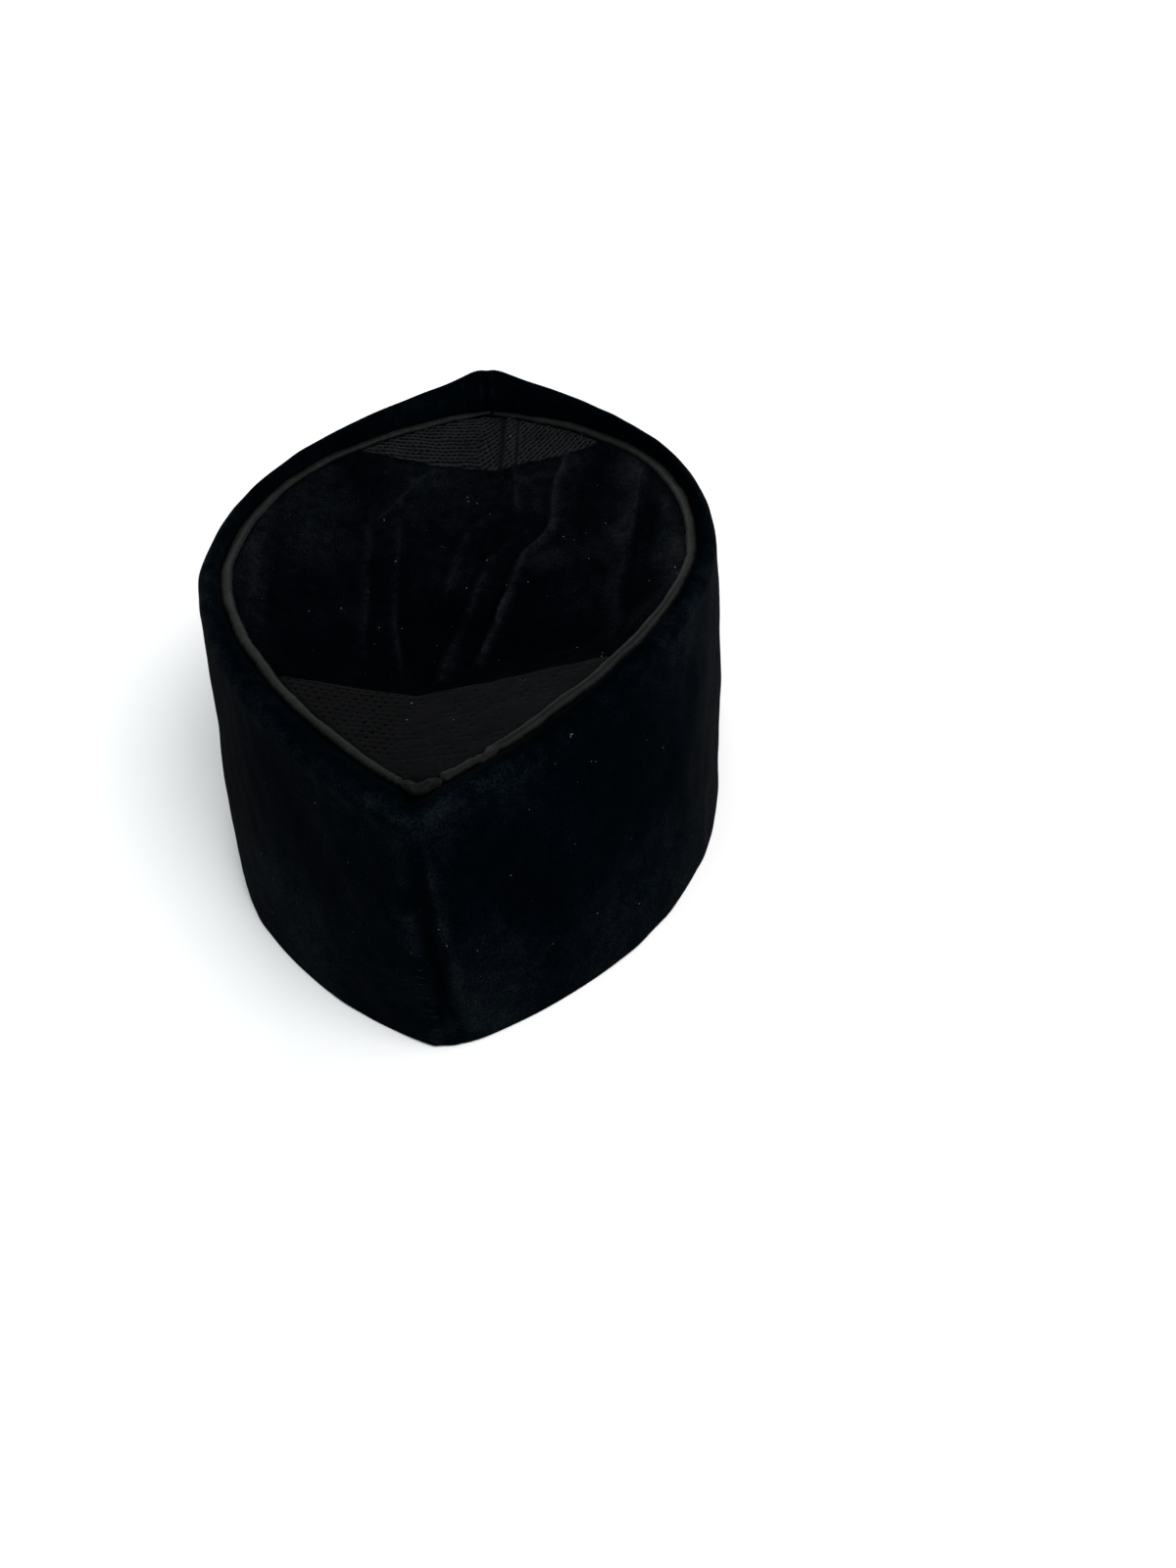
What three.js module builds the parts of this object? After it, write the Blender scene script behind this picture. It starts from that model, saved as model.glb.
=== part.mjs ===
import * as THREE from "three";

// A chieftaincy cap: a tall padded velvet band round a sunken velvet crown, with a vent of knitted net
// at each end of the crown and a satin piping between the crown and the band.
// Millimetres, +Z up, the front towards -Y and the wearer's left towards +X, standing on its rim.

// Plan curves. Half of each, on one side of the end seams, has its point at y = s * length and
// x = halfWidth * (1 - s ^ power) ^ SHOULDER, with s from 0 at the widest place to 1 at the tip.
// tipRound is the half-width at which the pointed tip is rounded off.
const SHOULDER = 0.87;
const RIM_OUTER = {
  halfWidth: 78.8, front: 128.0, back: 128.0, frontPower: 2.9, backPower: 2.9, tipRound: 6.4,
};
const RIM_INNER = {
  halfWidth: 73.6, front: 121.2, back: 121.2, frontPower: 2.9, backPower: 2.9, tipRound: 5.0,
};
const WAIST_INNER = {
  halfWidth: 72.9, front: 113.0, back: 114.5, frontPower: 2.4, backPower: 2.1, tipRound: 4.0,
};
const RIDGE_OUTER = {
  halfWidth: 77.9, front: 117.0, back: 118.9, frontPower: 2.16, backPower: 1.73, tipRound: 1.5,
};
const PIPING_LINE = {
  halfWidth: 70.6, front: 101.9, back: 101.3, frontPower: 2.55, backPower: 1.6, tipRound: 0,
};

// Heights above the surface that the rim stands on.
const RIDGE_TOP = 78.9;
const WAIST_HEIGHT = 50;
const PIPING_HEIGHT = 74.5;
const PIPING_DIP_FRONT = 5.5;
const PIPING_DIP_BACK = 1.5;

// The band.
const SEAM_GAP = 0.3;
const FOLD_RADIUS = 4.0;
const FOLD_SHARE = 0.62;
const FOLD_ANGLES = [0, 30, 60, 90, 115];
const SLOPE_SWELL = 0.04;
const WALL_SWELL = 1.0;
const WALL_LEVELS = [0, 0.15, 0.32, 0.5, 0.68, 0.84];
const OUTER_EDGE = 0.8;
const INNER_EDGE = 0.8;
const FACING_DROP = 5.0;
const FACING_FLARE = 1.0;
const GROOVE = { depth: 2.4, width: 2.2, rimShare: 0.35, ridgeShare: 0.4 };
const GROOVE_CHEEK = { height: 0.5, distance: 6, width: 3 };
const SEAM_STATIONS = [0, 1.5, 3, 4.8, 7, 10, 15, 22, 31];
const PLAIN_STATIONS = 18;

// The piping.
const PIPING_HALF_WIDTH = 1.65;
const PIPING_HALF_HEIGHT = 1.0;
const PIPING_END = 1.5;
const PIPING_SIDES = 8;
const PIPING_STEPS = 44;
const PIECE_GAP = 0.3;
const CREVICE_REACH = PIPING_HALF_WIDTH + PIECE_GAP + 0.1;
const CREVICE_DROP = 0.3;
const LEDGE_REACH = 0.4;
const LEDGE_TONGUE = { length: 1.6, width: 1.8 };
const LEDGE_DROP = PIPING_HALF_HEIGHT + PIECE_GAP + 0.1;

// The crown and the vents sink from the piping into a valley that runs lengthwise.
const CROWN_THICKNESS = 2.0;
const VENT_THICKNESS = 1.2;
const EDGE_DROP = 0.4;
const FRONT_SEAM = { y: -71.3, skew: -0.01, ventDepth: 8.8 };
const BACK_SEAM = { y: 52.2, skew: 0.045, ventDepth: 10.7 };
const VALLEY_AXIS = { front: -2.5, back: 8.0 };
const VENT_SLOPE_POWER = 1.1;
const VENT_FULLNESS = 1.15;
const VENT_TIP_WIDTH = 0.8;
const VENT_TIP_STEP = 0.1;
const VENT_ROWS = 9;
const VENT_COLUMNS = 12;
const CROWN_ROWS = 30;

// The valley of the crown: depth below the piping, and how full its sides are, at each station.
const VALLEY = [
  { y: -72, depth: 9.0, fullness: 1.2 },
  { y: -55, depth: 10.8, fullness: 1.8 },
  { y: -25, depth: 13.6, fullness: 2.4 },
  { y: 10, depth: 15.5, fullness: 2.6 },
  { y: 34, depth: 15.2, fullness: 2.3 },
  { y: 46, depth: 13.4, fullness: 1.7 },
  { y: 54, depth: 11.0, fullness: 1.2 },
];

// Where the lengthwise folds of the crown run: x of each fold at each station.
const FOLD_COURSE = [
  { y: -71, outerRight: -35.0, right: -27.0, middle: -10.0, left: 15.0, outerLeft: 29.0 },
  { y: -64, outerRight: -42.0, right: -24.0, middle: -10.5, left: 25.0, outerLeft: 36.0 },
  { y: -46, outerRight: -50.0, right: -25.0, middle: -12.0, left: 28.0, outerLeft: 38.0 },
  { y: -33, outerRight: -51.0, right: -24.0, middle: -9.0, left: 25.0, outerLeft: 36.0 },
  { y: -18, outerRight: -50.5, right: -17.0, middle: -5.0, left: 22.0, outerLeft: 33.0 },
  { y: -4, outerRight: -49.0, right: -14.5, middle: -2.5, left: 20.0, outerLeft: 31.0 },
  { y: 18, outerRight: -46.0, right: -10.0, middle: 1.0, left: 17.0, outerLeft: 28.5 },
  { y: 54, outerRight: -36.0, right: -6.0, middle: 4.5, left: 13.0, outerLeft: 22.0 },
];

// How each fold stands: its height, its half-width at the foot, and where it starts and ends.
const FOLDS = [
  { name: "outerRight", height: 1.0, foot: 6.0, from: -56, to: 16 },
  { name: "right", height: 1.9, foot: 3.0, from: -72, to: 38 },
  { name: "middle", height: 1.3, foot: 2.6, from: -72, to: 46 },
  { name: "left", height: 1.5, foot: 3.0, from: -72, to: 46 },
  { name: "outerLeft", height: 1.0, foot: 3.0, from: -30, to: 40 },
];
const FOLD_FADE = 12;
const FOLD_FOOT_SHARE = 0.33;
const SHOULDER_COLUMNS = [0, 0.12, 0.26, 0.5, 0.76];

// Half of a plan curve, from the front tip over the widest place to the back tip, with x positive.
class PlanCurve extends THREE.Curve {
  constructor(sizes) {
    super();
    this.sizes = sizes;
    this.arcLengthDivisions = 600;
  }

  halfWidthAt(y) {
    const { halfWidth, front, back, frontPower, backPower } = this.sizes;
    const s = Math.min(1, y < 0 ? -y / front : y / back);
    return halfWidth * (1 - s ** (y < 0 ? frontPower : backPower)) ** SHOULDER;
  }

  getPoint(t, target = new THREE.Vector3()) {
    const { halfWidth, front, back, frontPower, backPower, tipRound } = this.sizes;
    const length = t < 0.5 ? front : back;
    const power = t < 0.5 ? frontPower : backPower;
    const last = (1 - (tipRound / halfWidth) ** (1 / SHOULDER)) ** (1 / power);
    const s = last * (1 - (1 - Math.abs(2 * t - 1)) ** 1.5);
    const width = halfWidth * Math.max(0, 1 - s ** power) ** SHOULDER;
    const x = Math.sqrt(Math.max(0, width ** 2 - tipRound ** 2));
    return target.set(x, (t < 0.5 ? -1 : 1) * length * s, 0);
  }
}

const rimOuter = new PlanCurve(RIM_OUTER);
const rimInner = new PlanCurve(RIM_INNER);
const waistInner = new PlanCurve(WAIST_INNER);
const ridgeOuter = new PlanCurve(RIDGE_OUTER);
const pipingLine = new PlanCurve(PIPING_LINE);

function pipingHeight(y) {
  const reach = y < 0 ? -y / PIPING_LINE.front : y / PIPING_LINE.back;
  return PIPING_HEIGHT - (y < 0 ? PIPING_DIP_FRONT : PIPING_DIP_BACK) * Math.min(1, reach) ** 3;
}

// The value of a named column of a table at a place along the cap, half way between straight and eased.
function column(table, name, y) {
  const next = table.findIndex((row) => row.y >= y);
  if (next <= 0) {
    return (next === 0 ? table[0] : table.at(-1))[name];
  }
  const [low, high] = [table[next - 1], table[next]];
  const straight = THREE.MathUtils.inverseLerp(low.y, high.y, y);
  const eased = THREE.MathUtils.smoothstep(y, low.y, high.y);
  return THREE.MathUtils.lerp(low[name], high[name], (straight + eased) / 2);
}

// How far the outer cloth is drawn in beside an end seam, with a soft cheek next to the groove. The groove
// is deepest half way up, where level, which runs from 0 at the rim to 1 at the ridge, is 0.5.
function seamPull(distance, level) {
  const endShare = level < 0.5 ? GROOVE.rimShare : GROOVE.ridgeShare;
  const share = THREE.MathUtils.lerp(endShare, 1, 1 - Math.abs(2 * level - 1) ** 2);
  const groove = GROOVE.depth * share * Math.exp(-((distance / GROOVE.width) ** 2));
  const cheek = (distance - GROOVE_CHEEK.distance) / GROOVE_CHEEK.width;
  return groove - GROOVE_CHEEK.height * Math.exp(-(cheek ** 2));
}

function shifted(point, outward, distance, height) {
  return new THREE.Vector3(point.x, point.y, 0).addScaledVector(outward, distance).setZ(height);
}

// One closed section through the padded band, at a share of the way from the front seam to the back seam.
function bandSection(share, seamDistance) {
  const rim = rimOuter.getPointAt(share);
  const ridge = ridgeOuter.getPointAt(share);
  const piping = pipingLine.getPointAt(share);
  const waist = waistInner.getPointAt(share);
  const foot = rimInner.getPointAt(share);
  const outward = ridge.clone().sub(piping);
  const inset = outward.length();
  outward.normalize();
  const radius = Math.min(FOLD_RADIUS, FOLD_SHARE * (inset - CREVICE_REACH));
  const foldHeight = RIDGE_TOP - radius;
  const seat = pipingHeight(piping.y);
  const points = [shifted(rim, outward, -OUTER_EDGE - seamPull(seamDistance, 0), 0)];

  for (const level of WALL_LEVELS) {
    const height = THREE.MathUtils.lerp(OUTER_EDGE, foldHeight, level);
    const swell = WALL_SWELL * Math.sin(Math.PI * level) - seamPull(seamDistance, level);
    points.push(shifted(rim.clone().lerp(ridge, level), outward, swell, height));
  }
  for (const degrees of FOLD_ANGLES) {
    const angle = THREE.MathUtils.degToRad(degrees);
    const reach = radius * (Math.cos(angle) - 1) - seamPull(seamDistance, 1);
    points.push(shifted(ridge, outward, reach, foldHeight + radius * Math.sin(angle)));
  }
  const foldEnd = points.at(-1);
  const crevice = shifted(piping, outward, CREVICE_REACH, seat - CREVICE_DROP);
  const slope = foldEnd.clone().lerp(crevice, 0.5);
  slope.z += SLOPE_SWELL * inset;
  points.push(slope, crevice);
  const tongue = LEDGE_TONGUE.length * Math.exp(-((seamDistance / LEDGE_TONGUE.width) ** 2));
  points.push(shifted(piping, outward, LEDGE_REACH - tongue, seat - LEDGE_DROP));
  points.push(shifted(piping, outward, LEDGE_REACH + FACING_FLARE, seat - LEDGE_DROP - FACING_DROP));
  points.push(shifted(waist, outward, 0, WAIST_HEIGHT));
  points.push(shifted(waist.clone().lerp(foot, 0.5), outward, 0, WAIST_HEIGHT / 2));
  points.push(shifted(foot, outward, 0, INNER_EDGE));
  points.push(shifted(foot, outward, INNER_EDGE, 0));
  for (const point of points) {
    point.x = Math.max(point.x, SEAM_GAP / 2);
  }
  return points;
}

// A closed body through a row of closed sections with equal numbers of points, whose two ends are flat and
// face the other side of the cap.
function loft(sections, side) {
  const around = sections[0].length;
  const positions = sections.flat().flatMap((point) => point.toArray());
  const faces = [];
  for (let row = 0; row + 1 < sections.length; row += 1) {
    for (let i = 0; i < around; i += 1) {
      const a = row * around + i;
      const b = row * around + ((i + 1) % around);
      faces.push(a, a + around, b, b, a + around, b + around);
    }
  }
  for (const row of [0, sections.length - 1]) {
    const outline = sections[row].map((point) => new THREE.Vector2(point.y, point.z));
    for (const corners of THREE.ShapeUtils.triangulateShape(outline, [])) {
      const [a, b, c] = corners.map((corner) => row * around + corner);
      faces.push(a, c, b);
    }
  }
  return closedGeometry(positions, side > 0 ? faces : faces.reverse());
}

function closedGeometry(positions, faces) {
  const geometry = new THREE.BufferGeometry();
  geometry.setAttribute("position", new THREE.Float32BufferAttribute(positions, 3));
  geometry.setIndex(faces);
  geometry.computeVertexNormals();
  return geometry;
}

// A thin sheet: a grid of points on top, and the same grid lower by the thickness beneath it. The rows run
// from front to back, and each runs towards the wearer's left.
function sheet(rows, thickness) {
  const across = rows[0].length;
  const count = rows.length * across;
  const top = rows.flat();
  const bottom = top.map((point) => point.clone().setZ(point.z - thickness));
  const positions = [...top, ...bottom].flatMap((point) => point.toArray());
  const faces = [];
  const wall = (a, b) => faces.push(a, b, b + count, a, b + count, a + count);
  for (let row = 0; row + 1 < rows.length; row += 1) {
    for (let i = 0; i + 1 < across; i += 1) {
      const a = row * across + i;
      const [b, c, d] = [a + 1, a + across, a + across + 1];
      faces.push(a, b, d, a, d, c);
      faces.push(a + count, d + count, b + count, a + count, c + count, d + count);
    }
    wall(row * across, (row + 1) * across);
    wall((row + 2) * across - 1, (row + 1) * across - 1);
  }
  for (let i = 0; i + 1 < across; i += 1) {
    const lastRow = (rows.length - 1) * across;
    wall(i + 1, i);
    wall(lastRow + i, lastRow + i + 1);
  }
  return closedGeometry(positions, faces);
}

// One half of the band, on the wearer's left (side 1) or right (side -1).
function sidePanel(side) {
  const length = rimOuter.getLength();
  const fromSeam = SEAM_STATIONS.map((distance) => distance / length);
  const [first, last] = [fromSeam.at(-1), 1 - fromSeam.at(-1)];
  const plain = Array.from({ length: PLAIN_STATIONS }, (_, i) => {
    return THREE.MathUtils.lerp(first, last, (i + 1) / (PLAIN_STATIONS + 1));
  });
  const shares = [...fromSeam, ...plain, ...fromSeam.map((share) => 1 - share).reverse()];
  const sections = shares.map((share) => {
    const points = bandSection(share, Math.min(share, 1 - share) * length);
    return points.map((point) => point.setX(side * point.x));
  });
  return loft(sections, side);
}

// One strip of piping, from the front tip round one side to the back tip, wider than it is high.
function pipingStrip(side) {
  const corners = Array.from({ length: PIPING_SIDES }, (_, i) => {
    const angle = (2 * Math.PI * i) / PIPING_SIDES;
    return new THREE.Vector2(PIPING_HALF_HEIGHT * Math.cos(angle), PIPING_HALF_WIDTH * Math.sin(angle));
  });
  const end = PIPING_END / pipingLine.getLength();
  const course = Array.from({ length: PIPING_STEPS + 1 }, (_, i) => {
    const point = pipingLine.getPointAt(THREE.MathUtils.lerp(end, 1 - end, i / PIPING_STEPS));
    return point.set(side * point.x, point.y, pipingHeight(point.y));
  });
  const extrudePath = new THREE.CatmullRomCurve3(course);
  const options = { steps: PIPING_STEPS, extrudePath, bevelEnabled: false };
  return new THREE.ExtrudeGeometry(new THREE.Shape(corners), options);
}

// Where the crown and the vents meet the piping: the x of that edge at a place along the cap.
function clothEdge(y) {
  const slope = pipingLine.halfWidthAt(y + 0.5) - pipingLine.halfWidthAt(y - 0.5);
  return pipingLine.halfWidthAt(y) - (PIPING_HALF_WIDTH + PIECE_GAP) * Math.hypot(1, slope);
}

function valleyAxis(y) {
  const share = THREE.MathUtils.inverseLerp(FRONT_SEAM.y, BACK_SEAM.y, y);
  return THREE.MathUtils.lerp(VALLEY_AXIS.front, VALLEY_AXIS.back, THREE.MathUtils.clamp(share, 0, 1));
}

// 1 on the valley's axis and 0 at the piping.
function valleyShare(x, y, fullness) {
  const axis = valleyAxis(y);
  const reach = clothEdge(y) - Math.sign(x - axis) * axis;
  return reach > 0 ? 1 - Math.min(1, Math.abs(x - axis) / reach) ** fullness : 0;
}

function foldRise(x, y) {
  let rise = 0;
  for (const fold of FOLDS) {
    const distance = Math.abs(x - column(FOLD_COURSE, fold.name, y)) / fold.foot;
    const start = THREE.MathUtils.smoothstep(y, fold.from, fold.from + FOLD_FADE);
    const end = 1 - THREE.MathUtils.smoothstep(y, fold.to - FOLD_FADE, fold.to);
    rise += fold.height * start * end * Math.max(0, 1 - distance);
  }
  return rise;
}

// The x of every grid column of the crown at a place along the cap: close beside each fold, and wider
// apart between the outer folds and the piping.
function crownColumns(y) {
  const edge = clothEdge(y);
  const folds = FOLDS.map(({ name, foot }) => ({ foot, x: column(FOLD_COURSE, name, y) }));
  const xs = [];
  folds.forEach(({ x, foot }, i) => {
    const before = i === 0 ? -edge : folds[i - 1].x;
    const after = i === folds.length - 1 ? edge : folds[i + 1].x;
    const footBefore = Math.min(foot, FOLD_FOOT_SHARE * (x - before));
    const footAfter = Math.min(foot, FOLD_FOOT_SHARE * (after - x));
    xs.push(x - footBefore, x, x + footAfter);
    if (i + 1 < folds.length) {
      xs.push((x + after) / 2);
    }
  });
  const [low, high] = [xs[0], xs.at(-1)];
  const right = SHOULDER_COLUMNS.map((share) => THREE.MathUtils.lerp(-edge, low, share));
  const left = SHOULDER_COLUMNS.map((share) => THREE.MathUtils.lerp(edge, high, share)).reverse();
  return [...right, ...xs, ...left];
}

function crownPanel() {
  const rows = [];
  for (let i = 0; i <= CROWN_ROWS; i += 1) {
    const along = i / CROWN_ROWS;
    const middle = THREE.MathUtils.lerp(FRONT_SEAM.y, BACK_SEAM.y, along);
    const skew = THREE.MathUtils.lerp(FRONT_SEAM.skew, BACK_SEAM.skew, along);
    const gap = (SEAM_GAP / 2) * (1 - 2 * along);
    rows.push(crownColumns(middle).map((x) => {
      const y = middle + skew * x + gap;
      const place = (x * clothEdge(y)) / clothEdge(middle);
      const depth = column(VALLEY, "depth", y) * valleyShare(place, y, column(VALLEY, "fullness", y));
      return new THREE.Vector3(place, y, pipingHeight(y) - EDGE_DROP - depth + foldRise(place, y));
    }));
  }
  return sheet(rows, CROWN_THICKNESS);
}

// A vent, from the seam with the crown to the tip of the piping at the front (direction -1) or back (1).
function vent(seam, direction) {
  let tip = seam.y;
  while (clothEdge(tip) > VENT_TIP_WIDTH) {
    tip += VENT_TIP_STEP * direction;
  }
  const rows = [];
  for (let row = 0; row <= VENT_ROWS; row += 1) {
    const along = row / VENT_ROWS;
    const points = [];
    for (let i = 0; i <= VENT_COLUMNS; i += 1) {
      const across = (2 * i) / VENT_COLUMNS - 1;
      const seamY = seam.y + seam.skew * across * clothEdge(seam.y) + (SEAM_GAP / 2) * direction;
      const y = THREE.MathUtils.lerp(seamY, tip, along);
      const x = across * clothEdge(y);
      const depth = seam.ventDepth * (1 - along) ** VENT_SLOPE_POWER * valleyShare(x, y, VENT_FULLNESS);
      points.push(new THREE.Vector3(x, y, pipingHeight(y) - EDGE_DROP - depth));
    }
    rows.push(points);
  }
  return sheet(direction > 0 ? rows : rows.reverse(), VENT_THICKNESS);
}

const velvet = new THREE.MeshStandardMaterial({ color: 0x0b0e12, roughness: 0.95, metalness: 0 });
const net = new THREE.MeshStandardMaterial({ color: 0x1b1c1f, roughness: 0.9, metalness: 0 });
const satin = new THREE.MeshStandardMaterial({ color: 0x2e302f, roughness: 0.55, metalness: 0 });

const pieces = [
  { name: "side_panel_left", geometry: sidePanel(1), material: velvet },
  { name: "side_panel_right", geometry: sidePanel(-1), material: velvet },
  { name: "crown_panel", geometry: crownPanel(), material: velvet },
  { name: "front_vent", geometry: vent(FRONT_SEAM, -1), material: net },
  { name: "back_vent", geometry: vent(BACK_SEAM, 1), material: net },
  { name: "piping_left", geometry: pipingStrip(1), material: satin },
  { name: "piping_right", geometry: pipingStrip(-1), material: satin },
];

const cap = new THREE.Group();
for (const { name, geometry, material } of pieces) {
  const mesh = new THREE.Mesh(geometry, material);
  mesh.name = name;
  cap.add(mesh);
}

export default cap;
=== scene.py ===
import math
from types import SimpleNamespace

import bmesh
import bpy
import numpy as np
from mathutils import Matrix, Vector
from mathutils.bvhtree import BVHTree
from mathutils.geometry import delaunay_2d_cdt


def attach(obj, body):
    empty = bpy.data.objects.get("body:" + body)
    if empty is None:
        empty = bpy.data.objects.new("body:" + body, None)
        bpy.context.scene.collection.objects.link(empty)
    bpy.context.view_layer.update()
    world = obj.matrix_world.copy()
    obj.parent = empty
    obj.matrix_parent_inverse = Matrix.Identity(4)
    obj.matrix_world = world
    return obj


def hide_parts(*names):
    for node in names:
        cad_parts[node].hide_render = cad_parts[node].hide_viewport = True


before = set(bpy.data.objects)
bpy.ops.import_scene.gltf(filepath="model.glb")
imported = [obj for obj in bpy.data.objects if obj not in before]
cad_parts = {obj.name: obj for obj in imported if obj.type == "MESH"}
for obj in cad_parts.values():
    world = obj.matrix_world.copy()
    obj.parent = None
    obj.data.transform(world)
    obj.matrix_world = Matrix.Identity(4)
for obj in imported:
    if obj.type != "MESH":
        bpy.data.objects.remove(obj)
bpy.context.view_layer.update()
scene = bpy.context.scene

# The looks of a chieftaincy cap. Sizes are millimetres in the frame of the CAD part, and a piece is scaled to
# metres when its mesh is made. The plan curves and heights repeat the named sizes of the CAD part.
MM = 0.001
SHOULDER = 0.87
RIM_OUTER = dict(half=78.8, front=128.0, back=128.0, front_power=2.9, back_power=2.9, tip=6.4)
RIM_INNER = dict(half=73.6, front=121.2, back=121.2, front_power=2.9, back_power=2.9, tip=5.0)
WAIST_INNER = dict(half=72.9, front=113.0, back=114.5, front_power=2.4, back_power=2.1, tip=4.0)
RIDGE_OUTER = dict(half=77.9, front=117.0, back=118.9, front_power=2.16, back_power=1.73, tip=1.5)
PIPING_LINE = dict(half=70.6, front=101.9, back=101.3, front_power=2.55, back_power=1.6, tip=0.0)
RIDGE_TOP = 78.9
WAIST_HEIGHT = 50.0
PIPING_HEIGHT = 74.5
PIPING_DIP_FRONT = 5.5
PIPING_DIP_BACK = 1.5
FOLD_RADIUS = 4.0
FOLD_SHARE = 0.62
FOLD_LAST_ANGLE = 115.0
SLOPE_SWELL = 0.04
WALL_SWELL = 1.0
EDGE_RADIUS = 0.8
CREVICE_REACH = 2.05
CREVICE_DROP = 0.3
LEDGE_REACH = 0.4
LEDGE_DROP = 1.4
LEDGE_TONGUE = 1.6
LEDGE_TONGUE_WIDTH = 1.8
FACING_FLARE = 1.0
FACING_DROP = 5.0
CLOTH_GAP = 1.95
EDGE_DROP = 0.4
TUCK_DROP = 0.85
FRONT_SEAM = dict(y=-71.3, skew=-0.01, depth=8.8)
BACK_SEAM = dict(y=52.2, skew=0.045, depth=10.7)
VALLEY_AXIS = (-2.5, 8.0)
VENT_SLOPE_POWER = 1.1
VENT_FULLNESS = 1.15
VALLEY = dict(
    y=(-72, -55, -25, 10, 34, 46, 54),
    depth=(9.0, 10.8, 13.6, 15.5, 15.2, 13.4, 11.0),
    fullness=(1.2, 1.8, 2.4, 2.6, 2.3, 1.7, 1.2),
)


def lerp(a, b, t):
    return a + (b - a) * t


def smooth(t):
    t = np.clip(t, 0, 1)
    return t * t * (3 - 2 * t)


def ease(value, low, high):
    return smooth((np.asarray(value, float) - low) / (high - low))


def bell(value, centre, width):
    return np.exp(-(((np.asarray(value, float) - centre) / width) ** 2))


def bells(value, rows):
    """Several bells together, each with its centre, width and height."""
    return sum(height * bell(value, centre, width) for centre, width, height in rows)


def swells(points, wavelength, seed, count=14):
    """Smooth seeded unevenness of about unit size at each point."""
    rng = np.random.default_rng(seed)
    points = np.asarray(points, float)
    directions = rng.normal(size=(count, points.shape[-1]))
    directions /= np.linalg.norm(directions, axis=1)[:, None]
    waves = directions * (2 * math.pi / (wavelength * rng.uniform(0.65, 1.6, count)))[:, None]
    phases = rng.uniform(0, 2 * math.pi, count)
    return np.sin(points @ waves.T + phases).sum(-1) * math.sqrt(2 / count)


def swells_along(values, wavelength, seed):
    """The same unevenness along one direction."""
    return swells(np.stack([values, 0 * values], -1), wavelength, seed)


def uneven(points, *rows):
    """Several swells together, each with its height, wavelength and seed."""
    return sum(height * swells(points, wavelength, seed) for height, wavelength, seed in rows)


class Plan:
    """Half of a plan curve, from the front tip over the widest place to the back tip, with x positive."""

    def __init__(self, sizes, samples=8001):
        self.sizes = sizes
        t = np.linspace(0, 1, samples)
        front = t < 0.5
        length = np.where(front, sizes["front"], sizes["back"])
        power = np.where(front, sizes["front_power"], sizes["back_power"])
        last = (1 - (sizes["tip"] / sizes["half"]) ** (1 / SHOULDER)) ** (1 / power)
        # The samples crowd towards the tips, where the curve turns fastest.
        s = last * (1 - (1 - np.abs(2 * t - 1)) ** 1.5)
        width = sizes["half"] * np.maximum(0, 1 - s**power) ** SHOULDER
        self.x = np.sqrt(np.maximum(0, width**2 - sizes["tip"] ** 2))
        self.y = np.where(front, -1, 1) * length * s
        steps = np.hypot(np.diff(self.x), np.diff(self.y))
        self.run = np.concatenate([[0], np.cumsum(steps)])
        self.length = self.run[-1]

    def at(self, share):
        run = np.asarray(share) * self.length
        return np.stack([np.interp(run, self.run, self.x), np.interp(run, self.run, self.y)], -1)

    def reach(self, y):
        """How far along its half a place lies, from 0 in the middle to 1 at the tip."""
        return np.clip(np.where(y < 0, -y / self.sizes["front"], y / self.sizes["back"]), 0, 1)

    def half_width(self, y):
        y = np.asarray(y, float)
        power = np.where(y < 0, self.sizes["front_power"], self.sizes["back_power"])
        return self.sizes["half"] * np.maximum(0, 1 - self.reach(y) ** power) ** SHOULDER


rim_outer = Plan(RIM_OUTER)
rim_inner = Plan(RIM_INNER)
waist_inner = Plan(WAIST_INNER)
ridge_outer = Plan(RIDGE_OUTER)
piping_line = Plan(PIPING_LINE)


def piping_height(y):
    y = np.asarray(y, float)
    return PIPING_HEIGHT - np.where(y < 0, PIPING_DIP_FRONT, PIPING_DIP_BACK) * piping_line.reach(y) ** 3


def cloth_edge(y):
    slope = piping_line.half_width(y + 0.5) - piping_line.half_width(y - 0.5)
    return piping_line.half_width(y) - CLOTH_GAP * np.hypot(1, slope)


def valley_axis(y):
    share = (np.asarray(y, float) - FRONT_SEAM["y"]) / (BACK_SEAM["y"] - FRONT_SEAM["y"])
    return lerp(*VALLEY_AXIS, np.clip(share, 0, 1))


def valley_share(x, y, fullness):
    axis = valley_axis(y)
    reach = np.maximum(0.5, cloth_edge(y) - np.sign(x - axis) * axis)
    return 1 - np.minimum(1, np.abs(x - axis) / reach) ** fullness


def seam_y(seam, x):
    """Where the seam between the crown and a vent lies along the cap."""
    return seam["y"] + seam["skew"] * np.asarray(x, float)


def blurred(values, spread, reach, **padding):
    """Evenly spaced values, each averaged with its neighbours. Spread and reach count in steps."""
    kernel = np.exp(-((np.arange(-reach, reach + 1) / spread) ** 2))
    return np.convolve(np.pad(values, reach, **padding), kernel / kernel.sum(), mode="valid")


def smooth_table(ys, values, y, spread=3.0):
    """A table's values along the cap, with its corners rounded."""
    step = 0.5
    grid = np.arange(-140, 140 + step, step)
    return np.interp(y, grid, blurred(np.interp(grid, ys, values), spread / step, 32, mode="edge"))


# Meshes


def placed(name, data):
    """A new object in the scene for a mesh, a lamp or a camera."""
    thing = bpy.data.objects.new(name, data)
    scene.collection.objects.link(thing)
    return thing


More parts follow.
